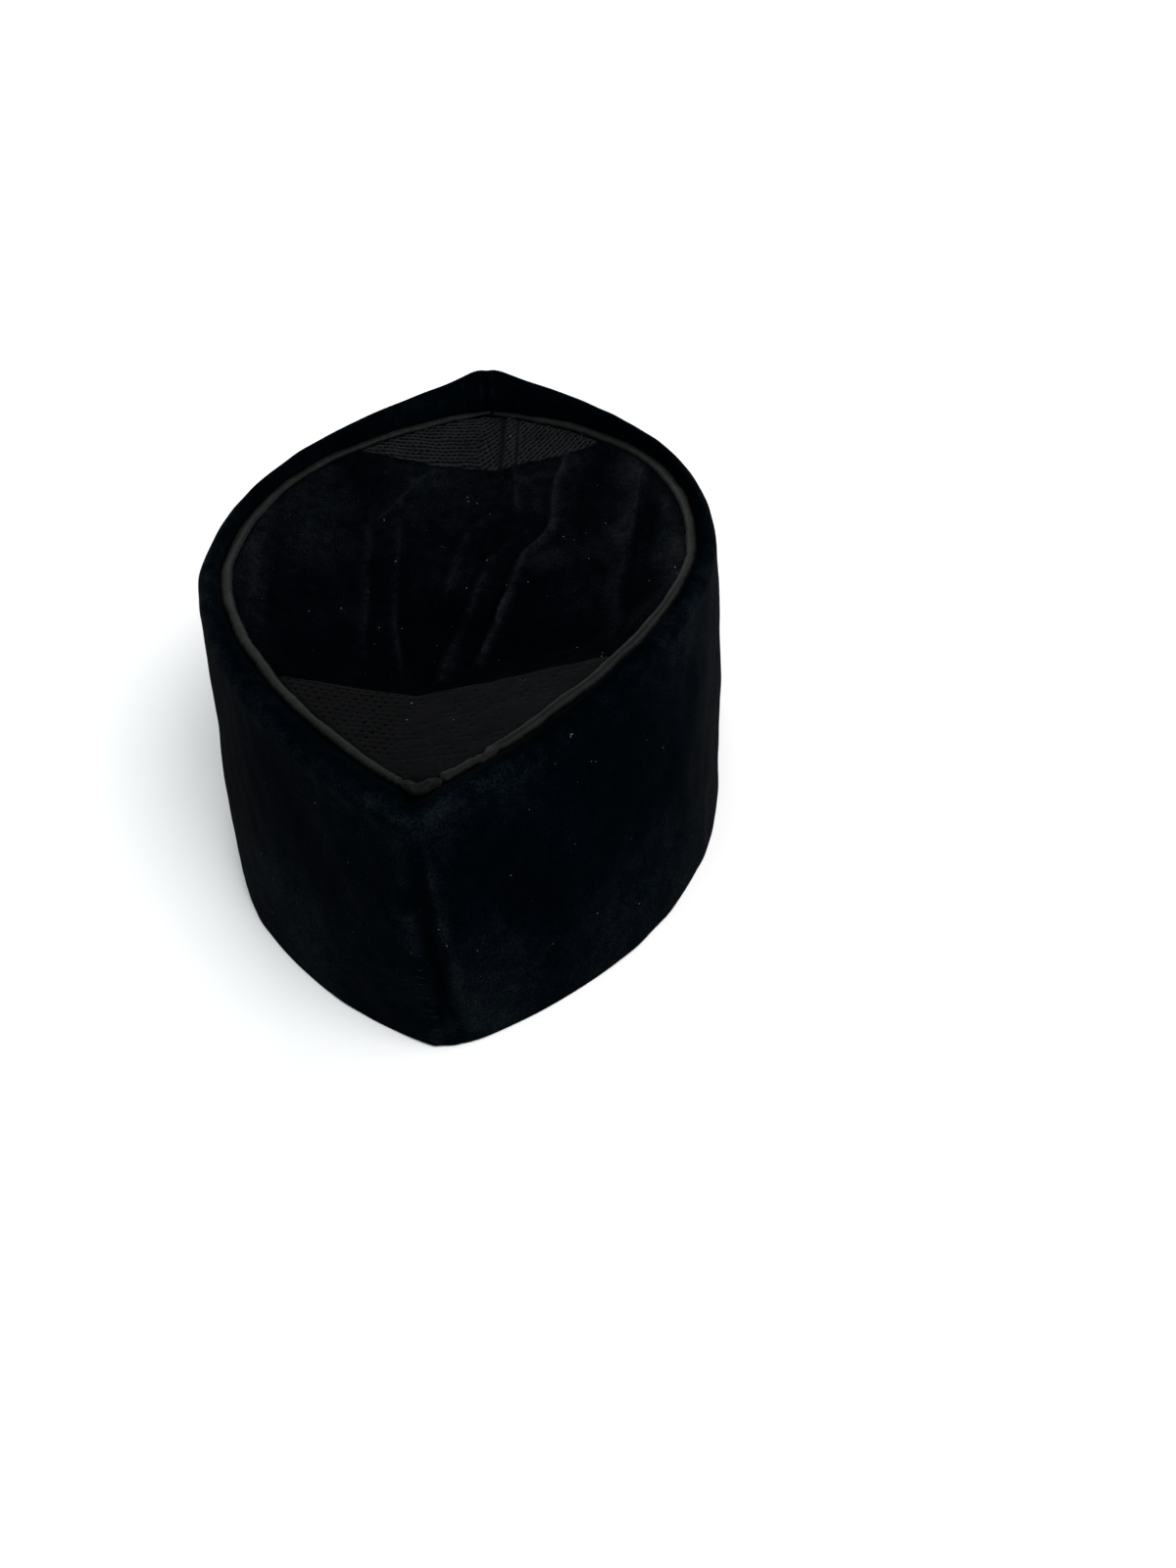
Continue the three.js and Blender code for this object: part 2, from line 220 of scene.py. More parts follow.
def make_piece(name, points, faces, materials, attributes=None, uv=None, face_materials=None, flat_faces=()):
    mesh = bpy.data.meshes.new(name)
    mesh.from_pydata((np.asarray(points, float) * MM).tolist(), [], faces)
    for key, values in (attributes or {}).items():
        layer = mesh.attributes.new(key, "FLOAT", "POINT")
        layer.data.foreach_set("value", np.asarray(values, np.float32).ravel())
    if uv is not None:
        layer = mesh.uv_layers.new(name="cloth")
        corners = np.zeros(len(mesh.loops), np.int32)
        mesh.loops.foreach_get("vertex_index", corners)
        layer.data.foreach_set("uv", np.asarray(uv, np.float32)[corners].ravel())
    for material in materials:
        mesh.materials.append(material)
    if face_materials is not None:
        mesh.polygons.foreach_set("material_index", np.asarray(face_materials, np.int32))
    edit = bmesh.new()
    edit.from_mesh(mesh)
    bmesh.ops.recalc_face_normals(edit, faces=edit.faces)
    edit.to_mesh(mesh)
    edit.free()
    is_smooth = np.ones(len(mesh.polygons), bool)
    is_smooth[list(flat_faces)] = False
    mesh.polygons.foreach_set("use_smooth", is_smooth)
    mesh.update()
    return placed(name, mesh)


def grid_normals(grid):
    along = np.gradient(grid, axis=0)
    across = np.gradient(grid, axis=1)
    normals = np.cross(along, across)
    return normals / np.maximum(1e-9, np.linalg.norm(normals, axis=-1))[..., None]


def loft_faces(rows, around):
    """Quads of a closed tube of rows of points, and its two end caps."""
    row, i = np.meshgrid(np.arange(rows - 1), np.arange(around), indexing="ij")
    a = row * around + i
    b = row * around + (i + 1) % around
    quads = np.stack([a, a + around, b + around, b], -1).reshape(-1, 4).tolist()
    first = list(range(around))
    last = [(rows - 1) * around + k for k in range(around)]
    return quads + [first, last[::-1]]


def sheet_faces(rows, columns):
    row, i = np.meshgrid(np.arange(rows - 1), np.arange(columns - 1), indexing="ij")
    a = row * columns + i
    return np.stack([a, a + 1, a + columns + 1, a + columns], -1).reshape(-1, 4).tolist()


def thickened(points, faces, normals, thickness):
    """A sheet with a second side under it and a wall along every open edge."""
    count = len(points)
    edges = {}
    for face in faces:
        for a, b in zip(face, face[1:] + face[:1]):
            edges[(a, b)] = edges.get((a, b), 0) + 1
    walls = [[b, a, a + count, b + count] for a, b in edges if (b, a) not in edges]
    under = [[k + count for k in reversed(face)] for face in faces]
    both = np.concatenate([points, points - normals * thickness])
    return both, faces + under + walls


def thick_sheet(grid, thickness):
    """A grid of places as a sheet with two sides, and how many faces each side has."""
    normals = grid_normals(grid).reshape(-1, 3)
    normals *= np.sign(normals[:, 2].mean())
    faces = sheet_faces(*grid.shape[:2])
    both, closed = thickened(grid.reshape(-1, 3), faces, normals, thickness)
    return both, closed, len(faces)


def tube(path, radii, around=8, squash=1.0):
    """Points and faces of a closed tube along a short path."""
    path = np.asarray(path, float)
    along = np.gradient(path, axis=0)
    along /= np.maximum(1e-9, np.linalg.norm(along, axis=1))[:, None]
    side = np.cross(along, [0, 0, 1.0])
    weak = np.linalg.norm(side, axis=1) < 0.2
    side[weak] = np.cross(along[weak], [1.0, 0, 0])
    side /= np.linalg.norm(side, axis=1)[:, None]
    up = np.cross(side, along)
    angles = 2 * math.pi * np.arange(around) / around
    radii = np.broadcast_to(radii, len(path))[:, None]
    sideways = (radii * np.cos(angles))[..., None] * side[:, None]
    upwards = (squash * radii * np.sin(angles))[..., None] * up[:, None]
    return (path[:, None] + sideways + upwards).reshape(-1, 3), loft_faces(len(path), around)


def gather(parts):
    """Several meshes as one list of points and one of faces."""
    points, faces, count = [], [], 0
    for part_points, part_faces in parts:
        points.append(part_points)
        faces += [[i + count for i in face] for face in part_faces]
        count += len(part_points)
    return np.concatenate(points), faces


# Materials


class Graph:
    """Builds one procedural material on a Principled shader."""

    def __init__(self, name, specular, sheen=0.0, sheen_roughness=0.5, tint=(1.0, 1.0, 1.0)):
        self.material = bpy.data.materials.new(name)
        self.material.use_nodes = True
        self.tree = self.material.node_tree
        self.shader = self.tree.nodes["Principled BSDF"]
        self.shader.inputs["Specular IOR Level"].default_value = specular
        self.shader.inputs["Sheen Weight"].default_value = sheen
        self.shader.inputs["Sheen Roughness"].default_value = sheen_roughness
        self.shader.inputs["Sheen Tint"].default_value = (*tint, 1.0)

    def put(self, value, socket):
        if isinstance(value, bpy.types.NodeSocket):
            self.tree.links.new(value, socket)
        else:
            socket.default_value = value

    def node(self, kind, inputs=(), output=0, **settings):
        """Adds a node with its settings and inputs, and gives one of its outputs."""
        node = self.tree.nodes.new("ShaderNode" + kind)
        for key, value in settings.items():
            setattr(node, key, value)
        for key, value in dict(inputs).items():
            self.put(value, node.inputs[key])
        return node.outputs[output]

    def place(self, scale=(1000, 1000, 1000)):
        """Object coordinates, in millimetres unless scaled otherwise."""
        return self.node("Mapping", {"Vector": self.node("TexCoord", output="Object"), "Scale": scale})

    def cloth_axes(self):
        """The place on the cloth in its own two directions."""
        first = self.node("SeparateXYZ", {0: self.node("UVMap", output="UV", uv_map="cloth")}, "X")
        return first, first.node.outputs["Y"]

    def noise(self, vector, size, detail, roughness):
        inputs = {"Vector": vector, "Scale": 1 / size, "Detail": detail, "Roughness": roughness}
        return self.node("TexNoise", inputs, "Fac")

    def math(self, operation, *values):
        return self.node("Math", enumerate(values), operation=operation)

    def times(self, first, *others):
        for other in others:
            first = self.math("MULTIPLY", first, other)
        return first

    def wave(self, operation, value, turns=1):
        return self.math(operation, self.times(value, turns * 2 * math.pi))

    def ranged(self, *values):
        """A value moved from one range to another: the value, the range's ends, and the new ends."""
        return self.node("MapRange", zip(("Value", "From Min", "From Max", "To Min", "To Max"), values))

    def between(self, noise, low, high, edge=0.3):
        """Noise, which keeps near its middle, spread out from a low to a high value."""
        return self.ranged(noise, edge, 1 - edge, low, high)

    def varied(self, vector, size, detail, roughness, low, high, edge=0.3):
        return self.between(self.noise(vector, size, detail, roughness), low, high, edge)

    def attribute(self, name):
        return self.node("Attribute", output="Fac", attribute_name=name)

    def ramp(self, value, stops):
        colour = self.node("ValToRGB", {"Fac": value}, "Color")
        elements = colour.node.color_ramp.elements
        while len(elements) < len(stops):
            elements.new(0.5)
        for element, (position, shade) in zip(elements, stops):
            element.position = position
            element.color = (*shade, 1)
        return colour

    def shades(self, value, *colours):
        """A ramp with its colours evenly spaced."""
        return self.ramp(value, [(k / (len(colours) - 1), colour) for k, colour in enumerate(colours)])

    def vector(self, operation, *values):
        return self.node("VectorMath", enumerate(values), operation=operation)

    def bump(self, height, distance, strength, **under):
        return self.node("Bump", {"Strength": strength, "Distance": distance, "Height": height, **under})

    def finish(self, colour, roughness, normal=None):
        self.put(colour, self.shader.inputs["Base Color"])
        self.put(roughness, self.shader.inputs["Roughness"])
        if normal:
            self.put(normal, self.shader.inputs["Normal"])
        return self.material


# The grey that dust and painted highlight add to the pile's colour at the high tones, where the painted
# highlights lie.
DUST_AND_HIGHLIGHT_GREY = (0.003, 0.0025, 0.0021)
# The tone at which the velvet's ramp of colours ends.
TONE_TOP = 4


def velvet(name, dark, light, shift, sheen, patchy=0.26):
    """Short cotton pile: blotchy where it is brushed, grained close to, and with a sheen along the pile."""
    graph = Graph(name, 0.0, sheen, 0.28, (1.0, 0.97, 0.97))
    where = graph.vector("ADD", graph.place(), (shift, 2 * shift, -shift))
    blotches = graph.varied(where, 24, 3, 0.6, 0.24, 0.44, edge=0.32)
    patches = graph.varied(where, 4.5, 3, 0.6, 1 - patchy, 1 + patchy)
    grain = graph.varied(where, 0.6, 2, 0.6, 0.4, 1.7)
    # The tone attribute holds painted highlight and shade as well as the cloth's own tone.
    tone = graph.times(blotches, patches, grain, graph.attribute("nap"))
    deepest = tuple(0.25 * c for c in dark)
    dusty_highlight = tuple(1.5 * c + dust for c, dust in zip(light, DUST_AND_HIGHLIGHT_GREY))
    brightest = tuple(2 * c for c in dusty_highlight)
    stops = ((0, deepest), (0.35, dark), (1, light), (2, dusty_highlight), (TONE_TOP, brightest))
    colour = graph.ramp(graph.times(tone, 1 / TONE_TOP), [(stop / TONE_TOP, shade) for stop, shade in stops])
    # The pile is a touch greener in some places and a touch redder in others.
    hue = graph.varied(where, 15, 2, 0.5, 0.0, 1.0, edge=0.38)
    tint = graph.shades(hue, (0.88, 1.01, 0.99), (1.0, 1.0, 1.0), (1.02, 0.98, 1.04))
    fine = graph.bump(graph.noise(where, 0.42, 2, 0.65), 0.00022, 0.85)
    tufts = graph.bump(graph.noise(where, 1.5, 2, 0.5), 0.0004, 0.35, Normal=fine)
    roughness = graph.ranged(grain, 0.4, 1.6, 0.82, 1.0)
    return graph.finish(graph.vector("MULTIPLY", colour, tint), roughness, tufts)


def cloth_back(name):
    """The wrong side of the velvet, a plain matt weave."""
    graph = Graph(name, 0.02, 0.006)
    place = graph.place()
    threads = graph.noise(place, 0.5, 2, 0.5)
    tone = graph.times(graph.between(threads, 0.5, 1.4), graph.varied(place, 18, 3, 0.5, 0.5, 1.0))
    colour = graph.shades(tone, (0.0015, 0.0017, 0.0021), (0.0075, 0.008, 0.009))
    return graph.finish(colour, graph.between(threads, 0.8, 0.95), graph.bump(threads, 0.0001, 0.5))


def knit(name):
    """Matt knitted net: ribs along the rows of pinholes, with a stitch at every loop."""
    graph = Graph(name, 0.015, 0.006, tint=(0.98, 0.98, 1.0))
    across, along = graph.cloth_axes()
    ribs = graph.times(graph.wave("COSINE", along), graph.attribute("ribbed"), 0.6)
    loops = graph.times(graph.wave("SINE", across, 2), graph.wave("SINE", along, 2))
    place = graph.place()
    fibres = graph.noise(place, 0.35, 2, 0.6)
    height = graph.math("MULTIPLY_ADD", fibres, 0.8, graph.math("MULTIPLY_ADD", loops, 0.35, ribs))
    blotches = graph.varied(place, 7, 3, 0.55, 0.8, 1.2)
    specks = graph.varied(place, 0.9, 3, 0.65, 0.42, 1.6)
    streaks = graph.varied(graph.place((1000, 160, 160)), 1.4, 2, 0.5, 0.8, 1.2)
    # The colour follows the knit's height: painted shade in its furrows and painted light on its loops and
    # ribs.
    tone = graph.times(graph.ranged(height, -1.1, 1.9, 0.0, 1.0), blotches, specks, streaks)
    tone = graph.times(tone, graph.attribute("nap"))
    colour = graph.shades(tone, (0.0009, 0.001, 0.0012), (0.0043, 0.0046, 0.0051), (0.0108, 0.0111, 0.012))
    return graph.finish(colour, graph.between(fibres, 0.78, 0.95), graph.bump(height, 0.0001, 0.8))


def satin(name):
    """Dark grey satin cut on the bias: fine slanting threads, a soft gloss and a little wear."""
    graph = Graph(name, 0.07, 0.004, 0.4)
    around, along = graph.cloth_axes()
    threads = graph.wave("SINE", graph.math("ADD", graph.times(around, 14), graph.times(along, 3.2)))
    place = graph.place()
    slubs = graph.noise(place, 0.7, 3, 0.65)
    tone = graph.math("MULTIPLY_ADD", threads, 0.1, graph.between(slubs, 0.08, 0.8))
    tone = graph.times(tone, graph.varied(place, 9, 3, 0.5, 0.8, 1.2), graph.attribute("nap"))
    colour = graph.shades(tone, (0.0011, 0.0013, 0.0012), (0.0036, 0.0041, 0.0038), (0.0098, 0.0104, 0.0095))
    height = graph.math("MULTIPLY_ADD", threads, 0.3, slubs)
    return graph.finish(colour, graph.between(slubs, 0.46, 0.62), graph.bump(height, 0.00006, 0.5))


def thread(name, dark, light):
    """Sewing thread or lint, uneven along its twist."""
    graph = Graph(name, 0.05, 0.01)
    twist = graph.noise(graph.place(), 0.25, 2, 0.5)
    colour = graph.shades(graph.between(twist, 0, 1), dark, light)
    return graph.finish(colour, graph.between(twist, 0.6, 0.85), graph.bump(twist, 0.00006, 0.6))


def bound_cloth(name):
    """The worn, mottled cloth of the bound end."""
    graph = Graph(name, 0.04, 0.006)
    place = graph.place()
    threads = graph.noise(place, 0.45, 2, 0.6)
    patches = graph.varied(place, 1.6, 3, 0.65, 0.35, 1.5, edge=0.32)
    tone = graph.times(graph.between(threads, 0.5, 1.0), patches, graph.attribute("nap"))
    colour = graph.shades(tone, (0.0009, 0.001, 0.0011), (0.0055, 0.0058, 0.006), (0.015, 0.0153, 0.0155))
    return graph.finish(colour, graph.between(threads, 0.7, 0.95), graph.bump(threads, 0.00016, 0.8))


BAND_PILE = (0.00032, 0.00112, 0.002), (0.0036, 0.0051, 0.0062)
CROWN_PILE = (0.00042, 0.0008, 0.0014), (0.0037, 0.0041, 0.0051)

velvet_band = velvet("velvet band", *BAND_PILE, 0.0, 0.018)
# A shaded copy of the band's velvet with almost no sheen, for the slope inside the fold and the panel's end
# faces: painted shade.
velvet_slope_shaded = velvet("velvet slope shaded", *BAND_PILE, 0.0, 0.003)
velvet_crown = velvet("velvet crown", *CROWN_PILE, 61.0, 0.006, patchy=0.13)
back_cloth = cloth_back("velvet back")
net = knit("knitted net")
piping_satin = satin("satin piping")
worn_cloth = bound_cloth("bound end")
seam_thread = thread("seam thread", (0.0005, 0.0012, 0.002), (0.0034, 0.005, 0.0066))
lint_fibre = thread("lint", (0.08, 0.08, 0.078), (0.42, 0.41, 0.4))


# The velvet band

SEAM_GAP = 0.002
# How far the zones beside an end seam reach, and the steps between places in them and beyond.
NEAR_REACH, NEAR_STEP = 9, 0.28
BESIDE_REACH, BESIDE_STEP = 22, 0.55
PLAIN_STEP = 0.95
RIM_ANGLES = (0, 30, 60)
WALL_ROWS = 86
FOLD_ROWS = 18
SLOPE_ROWS = 14
# Rings of a panel, counted from its first: one on the wall, the first of the fold, the first with the shaded
# copy of the velvet, with almost no sheen, on the slope, and the first of the ledge.
WALL_RING = 40
FIRST_FOLD_RING = len(RIM_ANGLES) + WALL_ROWS
FIRST_SLOPE_RING = FIRST_FOLD_RING + 12
FIRST_LEDGE_RING = FIRST_FOLD_RING + FOLD_ROWS + SLOPE_ROWS - 2
PIT_REACH, PIT_DROP = 3.8, 2.9
# Painted shade: the darker tone for the inner side of the band.
INSIDE_TONE = 0.6
PUCKER_STEP = 2.7
# The grooves beside the end seams, from the rim (0) to the fold (1).
GROOVE_DEPTH = 2.4
BACK_GROOVE_LEVELS = (0.0, 0.1, 0.22, 0.34, 0.57, 0.75, 0.86)
BACK_GROOVE_CENTRE = (-4.2, -3.4, -1.6, -1.2, -0.4, -0.2, 0.0)
GROOVE_LEVELS = (0.0, 0.12, 0.3, 0.55, 0.72, 0.86, 1.0)
BACK_GROOVE_SHARE = (0.08, 0.7, 1.0, 0.95, 0.52, 0.16, 0.05)
BACK_GROOVE_WIDTH = (1.5, 2.0, 2.6, 2.5, 2.2, 2.0, 1.8)
FRONT_GROOVE_SHARE = (0.4, 0.7, 0.95, 1.0, 0.9, 0.6, 0.45)
FRONT_GROOVE_WIDTH = 2.0
# Where the band is lighter or darker, from brushed pile and from painted highlight and shade: the place, how
# far it reaches, and the change.
BAND_BRUSHED_AND_PAINTED_LIGHT = (
    ((46, 91, 26), 17, 0.55),
    ((59, 73, 27), 14, 0.35),
    ((35, 103, 16), 15, 0.35),
    ((41, 88, 58), 18, -0.3),
    ((21, 108, 52), 14, -0.2),
    ((-50, 76, 62), 17, -0.45),
    ((-29, 105, 38), 15, -0.42),
    ((-17, 111, 58), 12, -0.25),
    ((-51, 83, 32), 15, 0.25),
    ((-18, 116, 20), 14, 0.4),
    ((-20, 105, 75), 9, -0.05),
    ((-13, 121, 9), 9, 0.6),
    ((-8, 120, 62), 7, 0.4),
    ((10, 121, 20), 8, 0.25),
    ((22, 109, 74), 15, 0.22),
    ((45, 92, 74), 16, 0.15),
    ((77, 5, 72), 24, 0.4),
    ((70, 30, 60), 25, 0.3),
    ((-72, 25, 70), 26, 0.45),
)
# Painted highlight in patches on the cheek beside the groove at the back, on the wearer's right: height,
# reach and change.
GROOVE_CHEEK_HIGHLIGHTS = ((58, 7, 1.1), (43, 4, 1.2), (27, 6, 1.2))
# The seam inside the front tip, a dark line between two light ones: distance from it, reach and change.
TIP_LINES = ((2.6, 1.0, 0.9), (0, 0.9, -0.6))
# A painted highlight for one more pleat there, on the wearer's left.
TIP_PLEAT_HIGHLIGHT = ((10.6, 0.7, 1.1),)


def groove_centre(level):
    return np.interp(level, BACK_GROOVE_LEVELS, BACK_GROOVE_CENTRE)


def groove(offset, level, at_back):
    """How far the cloth is drawn in beside an end seam. Offsets are positive to the wearer's left, and
    the groove at the back lies on the wearer's right of the seam and fades near the fold."""
    above_rim = np.interp(level, (0, 0.1), (0.0, 1.0))
    if at_back:
        centre = groove_centre(level)
        share = np.interp(level, GROOVE_LEVELS, BACK_GROOVE_SHARE)
        width = np.interp(level, GROOVE_LEVELS, BACK_GROOVE_WIDTH)
        cheek = 0.55 * bell(offset, centre - 5.6, 2.6) * share
        cheek = cheek + 0.35 * bell(offset, centre + 5.8, 2.2) * above_rim
    else:
        centre, width = 0.0, FRONT_GROOVE_WIDTH
        share = np.interp(level, GROOVE_LEVELS, FRONT_GROOVE_SHARE)
        cheek = 0.5 * bell(np.abs(offset), 6, 3) * above_rim
    return GROOVE_DEPTH * share * bell(offset, centre, width) - cheek


class Panel:
    """One panel of the band. Its rings follow one another round its section. Each ring has a point for every
    place along the panel, the tone there with its painted highlight and shade, and a share of the outer
    side's unevenness."""

    def __init__(self, side):
        length = rim_outer.length
        near = [*np.arange(0, NEAR_REACH, NEAR_STEP), *np.arange(NEAR_REACH, BESIDE_REACH, BESIDE_STEP)]
        near = np.array(near)
        plain_count = int((length - 2 * BESIDE_REACH) / PLAIN_STEP)
        plain = np.linspace(BESIDE_REACH, length - BESIDE_REACH, plain_count)
        run = np.concatenate([near, plain, (length - near)[::-1]])
        self.side = side
        self.seam = np.minimum(run, length - run)
        self.at_back = run / length > 0.5
        plans = (rim_outer, ridge_outer, piping_line, waist_inner, rim_inner)
        self.rim, self.ridge, self.piping, self.waist, self.foot = (plan.at(run / length) for plan in plans)
        self.outward = self.ridge - self.piping
        self.inset = np.linalg.norm(self.outward, axis=1)
        self.outward /= self.inset[:, None]
        self.radius = np.minimum(FOLD_RADIUS, FOLD_SHARE * (self.inset - CREVICE_REACH))
        self.fold_height = RIDGE_TOP - self.radius
        self.seat = piping_height(self.piping[:, 1])
        self.rings, self.tones, self.shares = [], [], []
        self.add_wall()
        self.add_slope()
        self.add_inside()

    def pull(self, level):
        """How far the grooves at the end seams draw the cloth in."""
        signed = self.side * self.seam
        return np.where(self.at_back, groove(signed, level, True), groove(signed, level, False))

    def ring(self, base, distance, height):
        """Points at a distance outwards from a base curve."""
        flat = base + self.outward * np.broadcast_to(distance, self.seam.shape)[:, None]
        return np.column_stack([flat, np.broadcast_to(height, self.seam.shape)])

    def add(self, points, tone=1.0, share=1.0):
        self.rings.append(points)
        self.tones.append(np.broadcast_to(tone, self.seam.shape))
        self.shares.append(share)

    def add_wall(self):
        """The rounded rim, the wall and the fold."""
        for turn in np.radians(RIM_ANGLES):
            distance = -EDGE_RADIUS + EDGE_RADIUS * math.sin(turn) - self.pull(0.0)
            self.add(self.ring(self.rim, distance, EDGE_RADIUS * (1 - math.cos(turn))), share=0.3)
        for level in np.linspace(0, 1, WALL_ROWS):
            distance = WALL_SWELL * math.sin(math.pi * level) - self.pull(level)
            base, height = lerp(self.rim, self.ridge, level), lerp(EDGE_RADIUS, self.fold_height, level)
            # Painted highlight: the wall is lighter just below the fold.
            self.add(self.ring(base, distance, height), 1 + 0.25 * bell(level, 1.0, 0.045))
        for angle in np.linspace(0, FOLD_LAST_ANGLE, FOLD_ROWS)[1:]:
            turn = math.radians(angle)
            distance = self.radius * (math.cos(turn) - 1) - self.pull(1.0)
            # Painted highlight on the fold's crest, and painted shade as it turns inwards.
            tone = 1 + 0.3 * bell(angle, 42, 24) - 0.3 * ease(angle, 70, 110)
            self.add(self.ring(self.ridge, distance, self.fold_height + self.radius * math.sin(turn)), tone)

    def add_slope(self):
        """The slope inside the fold, which sinks into a pit at the back tip."""
        pit = np.where(self.at_back, bell(self.seam, 0.3, 4.2), 0)
        height = self.seat - CREVICE_DROP - PIT_DROP * pit
        start, end = self.rings[-1], self.ring(self.piping, CREVICE_REACH + PIT_REACH * pit, height)
        middle = lerp(start, end, 0.5)
        middle[:, 2] += 2 * SLOPE_SWELL * self.inset
        for t in np.linspace(0, 1, SLOPE_ROWS)[1:]:
            points = (1 - t) ** 2 * start + 2 * t * (1 - t) * middle + t**2 * end
            # Painted shade: the slope darkens towards the crevice by the piping, and much more in the pit at
            # the back tip.
            tone = (0.74 - 0.42 * ease(t, 0.7, 1.0)) * (1 - 0.8 * pit * ease(t, 0.25, 0.8))
            self.add(points, tone, 1 - 0.8 * float(ease(t, 0.6, 1.0)))

    def add_inside(self):
        """The ledge and the facing under the piping, and the inner side down to the rim."""
        tongue = LEDGE_TONGUE * bell(self.seam, 0, LEDGE_TONGUE_WIDTH)
        # Painted shade: the ledge and the facing under the piping are given darker tones.
        for reach, drop, tone in ((-tongue, 0, 0.3), (0.5 * FACING_FLARE, 0.4, 0.4), (FACING_FLARE, 1, 0.5)):
            height = self.seat - LEDGE_DROP - drop * FACING_DROP
            self.add(self.ring(self.piping, LEDGE_REACH + reach, height), tone, 0.0)
        facing, waist = self.rings[-1], self.ring(self.waist, 0.0, WAIST_HEIGHT)
        inside = [lerp(facing, waist, t) for t in (0.25, 0.5, 0.75, 1.0)]
        for t in np.linspace(0, 1, 9)[1:]:
            inside.append(self.ring(lerp(self.waist, self.foot, t), 0.0, lerp(WAIST_HEIGHT, EDGE_RADIUS, t)))
        for turn in np.radians((45, 90)):
            distance, height = EDGE_RADIUS * (1 - math.cos(turn)), EDGE_RADIUS * (1 - math.sin(turn))
            inside.append(self.ring(self.foot, distance, height))
        for points in inside:
            self.add(points, INSIDE_TONE, 0.0)

    def make(self):
        """The panel as a piece. From here on places are rows of a grid, and rings its columns."""
        plain = np.stack(self.rings, 1)
        plain[..., 0] = self.side * np.maximum(plain[..., 0], SEAM_GAP)
        self.shares = np.array(self.shares)[None, :]
        self.seam, self.at_back = self.seam[:, None], self.at_back[:, None]
        grid = self.shaped(plain)
        tones = self.toned(grid, plain[..., 2])
        rows, around = tones.shape
        cloth = np.zeros((rows - 1, around), int)
        cloth[:, FIRST_SLOPE_RING:] = 2
        cloth[:, FIRST_LEDGE_RING + 2:] = 1
        return make_piece(
            f"velvet_band_{'left' if self.side > 0 else 'right'}",
            grid.reshape(-1, 3),
            loft_faces(rows, around),
            [velvet_band, back_cloth, velvet_slope_shaded],
            {"nap": np.clip(tones, 0.12, 4).ravel()},
            face_materials=cloth.ravel().tolist() + [2, 2],
            flat_faces=(-2, -1),
        )

    def shaped(self, grid):
        """The grid with the padding's unevenness, puckers beside the seams, and the front tip drawn up."""
        side, seam, height = self.side, self.seam, grid[..., 2]
        normals = grid_normals(grid) * side
        normals *= np.sign((normals[:, WALL_RING, 0] * grid[:, WALL_RING, 0]).sum())
        at_fold = bell(height, RIDGE_TOP - 1, 9)
        swell = uneven(grid, (0.22, 34, 11), (0.09, 11, 12)) * (1 - 0.75 * at_fold)
        swell = swell + at_fold * 0.07 * swells(grid[..., :2], 17, 13)
        pucker = np.sin(2 * math.pi * height / PUCKER_STEP + 1.3 * swells(grid, 20, 14))
        pucker = bell(seam, 2.4, 3.0) * ease(height, 70, 50) * pucker
        pucker = np.where(self.at_back & (side > 0), 0.16, 0.05) * pucker
        move = self.shares * ease(seam, 0.0, 4.0) * swell + self.shares * pucker
        grid = grid + normals * move[..., None]
        lift = 1.5 * bell(seam, 0, 13) * ~self.at_back * ease(grid[..., 2], 55, 77) * (self.shares > 0)
        grid[..., 2] = np.maximum(grid[..., 2] + lift, 0)
        grid[..., 0] = side * np.maximum(side * grid[..., 0], SEAM_GAP)
        grid[[0, -1], :, 0] = side * SEAM_GAP
        return grid

    def toned(self, grid, height):
        """How light each point of the grid is, from its height before the last moves: the pile's own tone,
        with painted highlight on the fold and the groove's cheeks, and painted shade in the slope and the
        groove.
        """
        seam, at_back = self.seam, self.at_back
        signed = self.side * seam
        tones = np.stack(self.tones, 1).astype(float)
        # Painted shade in the groove beside the back seam, along its centre.
        centre = groove_centre(height / self.fold_height.max()) - 0.2 + 0.35 * swells_along(height, 9, 16)
        deep = np.where(at_back, bell(signed, centre, 1.6) * ease(height, 65, 56) * ease(height, -1, 6), 0)
        tones *= 1 - (0.5 + 0.15 * swells_along(height, 12, 20)) * deep
        seam_shows = np.where(at_back, ease(height, 76, 58) * ease(height, 4, 20), ease(height, 79, 70))
        tones *= 1 - 0.35 * bell(signed, 0, 0.5) * seam_shows
        tones *= (1 + 0.12 * swells(grid, 42, 15)) * (1 + 0.3 * ease(height, 22, 0))
        crest = ease(height, 70, 76) * self.shares
        tones *= 1 + crest * uneven(grid, (0.2, 7, 17), (0.08, 2.0, 18))
        tones *= 1 - 0.25 * crest * (self.side < 0) * ease(seam, 22, 60)
        tones *= 1 + at_back * self.cheek_highlight(signed, height)
        for place, reach, change in BAND_BRUSHED_AND_PAINTED_LIGHT:
            tones *= 1 + change * np.exp(-((grid - place) ** 2).sum(-1) / reach**2)
        inner = (self.shares > 0) & (np.arange(self.shares.size) >= FIRST_FOLD_RING) & ~at_back
        tones *= 1 + inner * bells(seam, TIP_LINES)
        return tones * (1 + inner * (self.side > 0) * bells(seam, TIP_PLEAT_HIGHLIGHT))

    def cheek_highlight(self, signed, height):
        """The painted highlight on the raised cheeks beside the groove: in patches on the right, evenly on
        the left.
        """
        below_fold = ease(height, 79, 68)
        if self.side < 0:
            climb = np.clip(height / 60, 0, 1)
            beside = bell(signed, lerp(-7.6, -4.0, climb), lerp(2.8, 1.3, climb)) * ease(height, 3, 12)
            return beside * below_fold * (0.3 + bells(height, GROOVE_CHEEK_HIGHLIGHTS))
        along_seam = swells_along(height, 13, 19)
        beside = bell(signed, 4.0, 2.2) * ease(height, 14, 34) * below_fold
        low = bell(signed, 2.6, 2.4) * ease(height, 13, 4)
        return (0.8 + 0.4 * along_seam) * beside + 0.7 * low * np.clip(1 + 0.5 * along_seam, 0, 2)
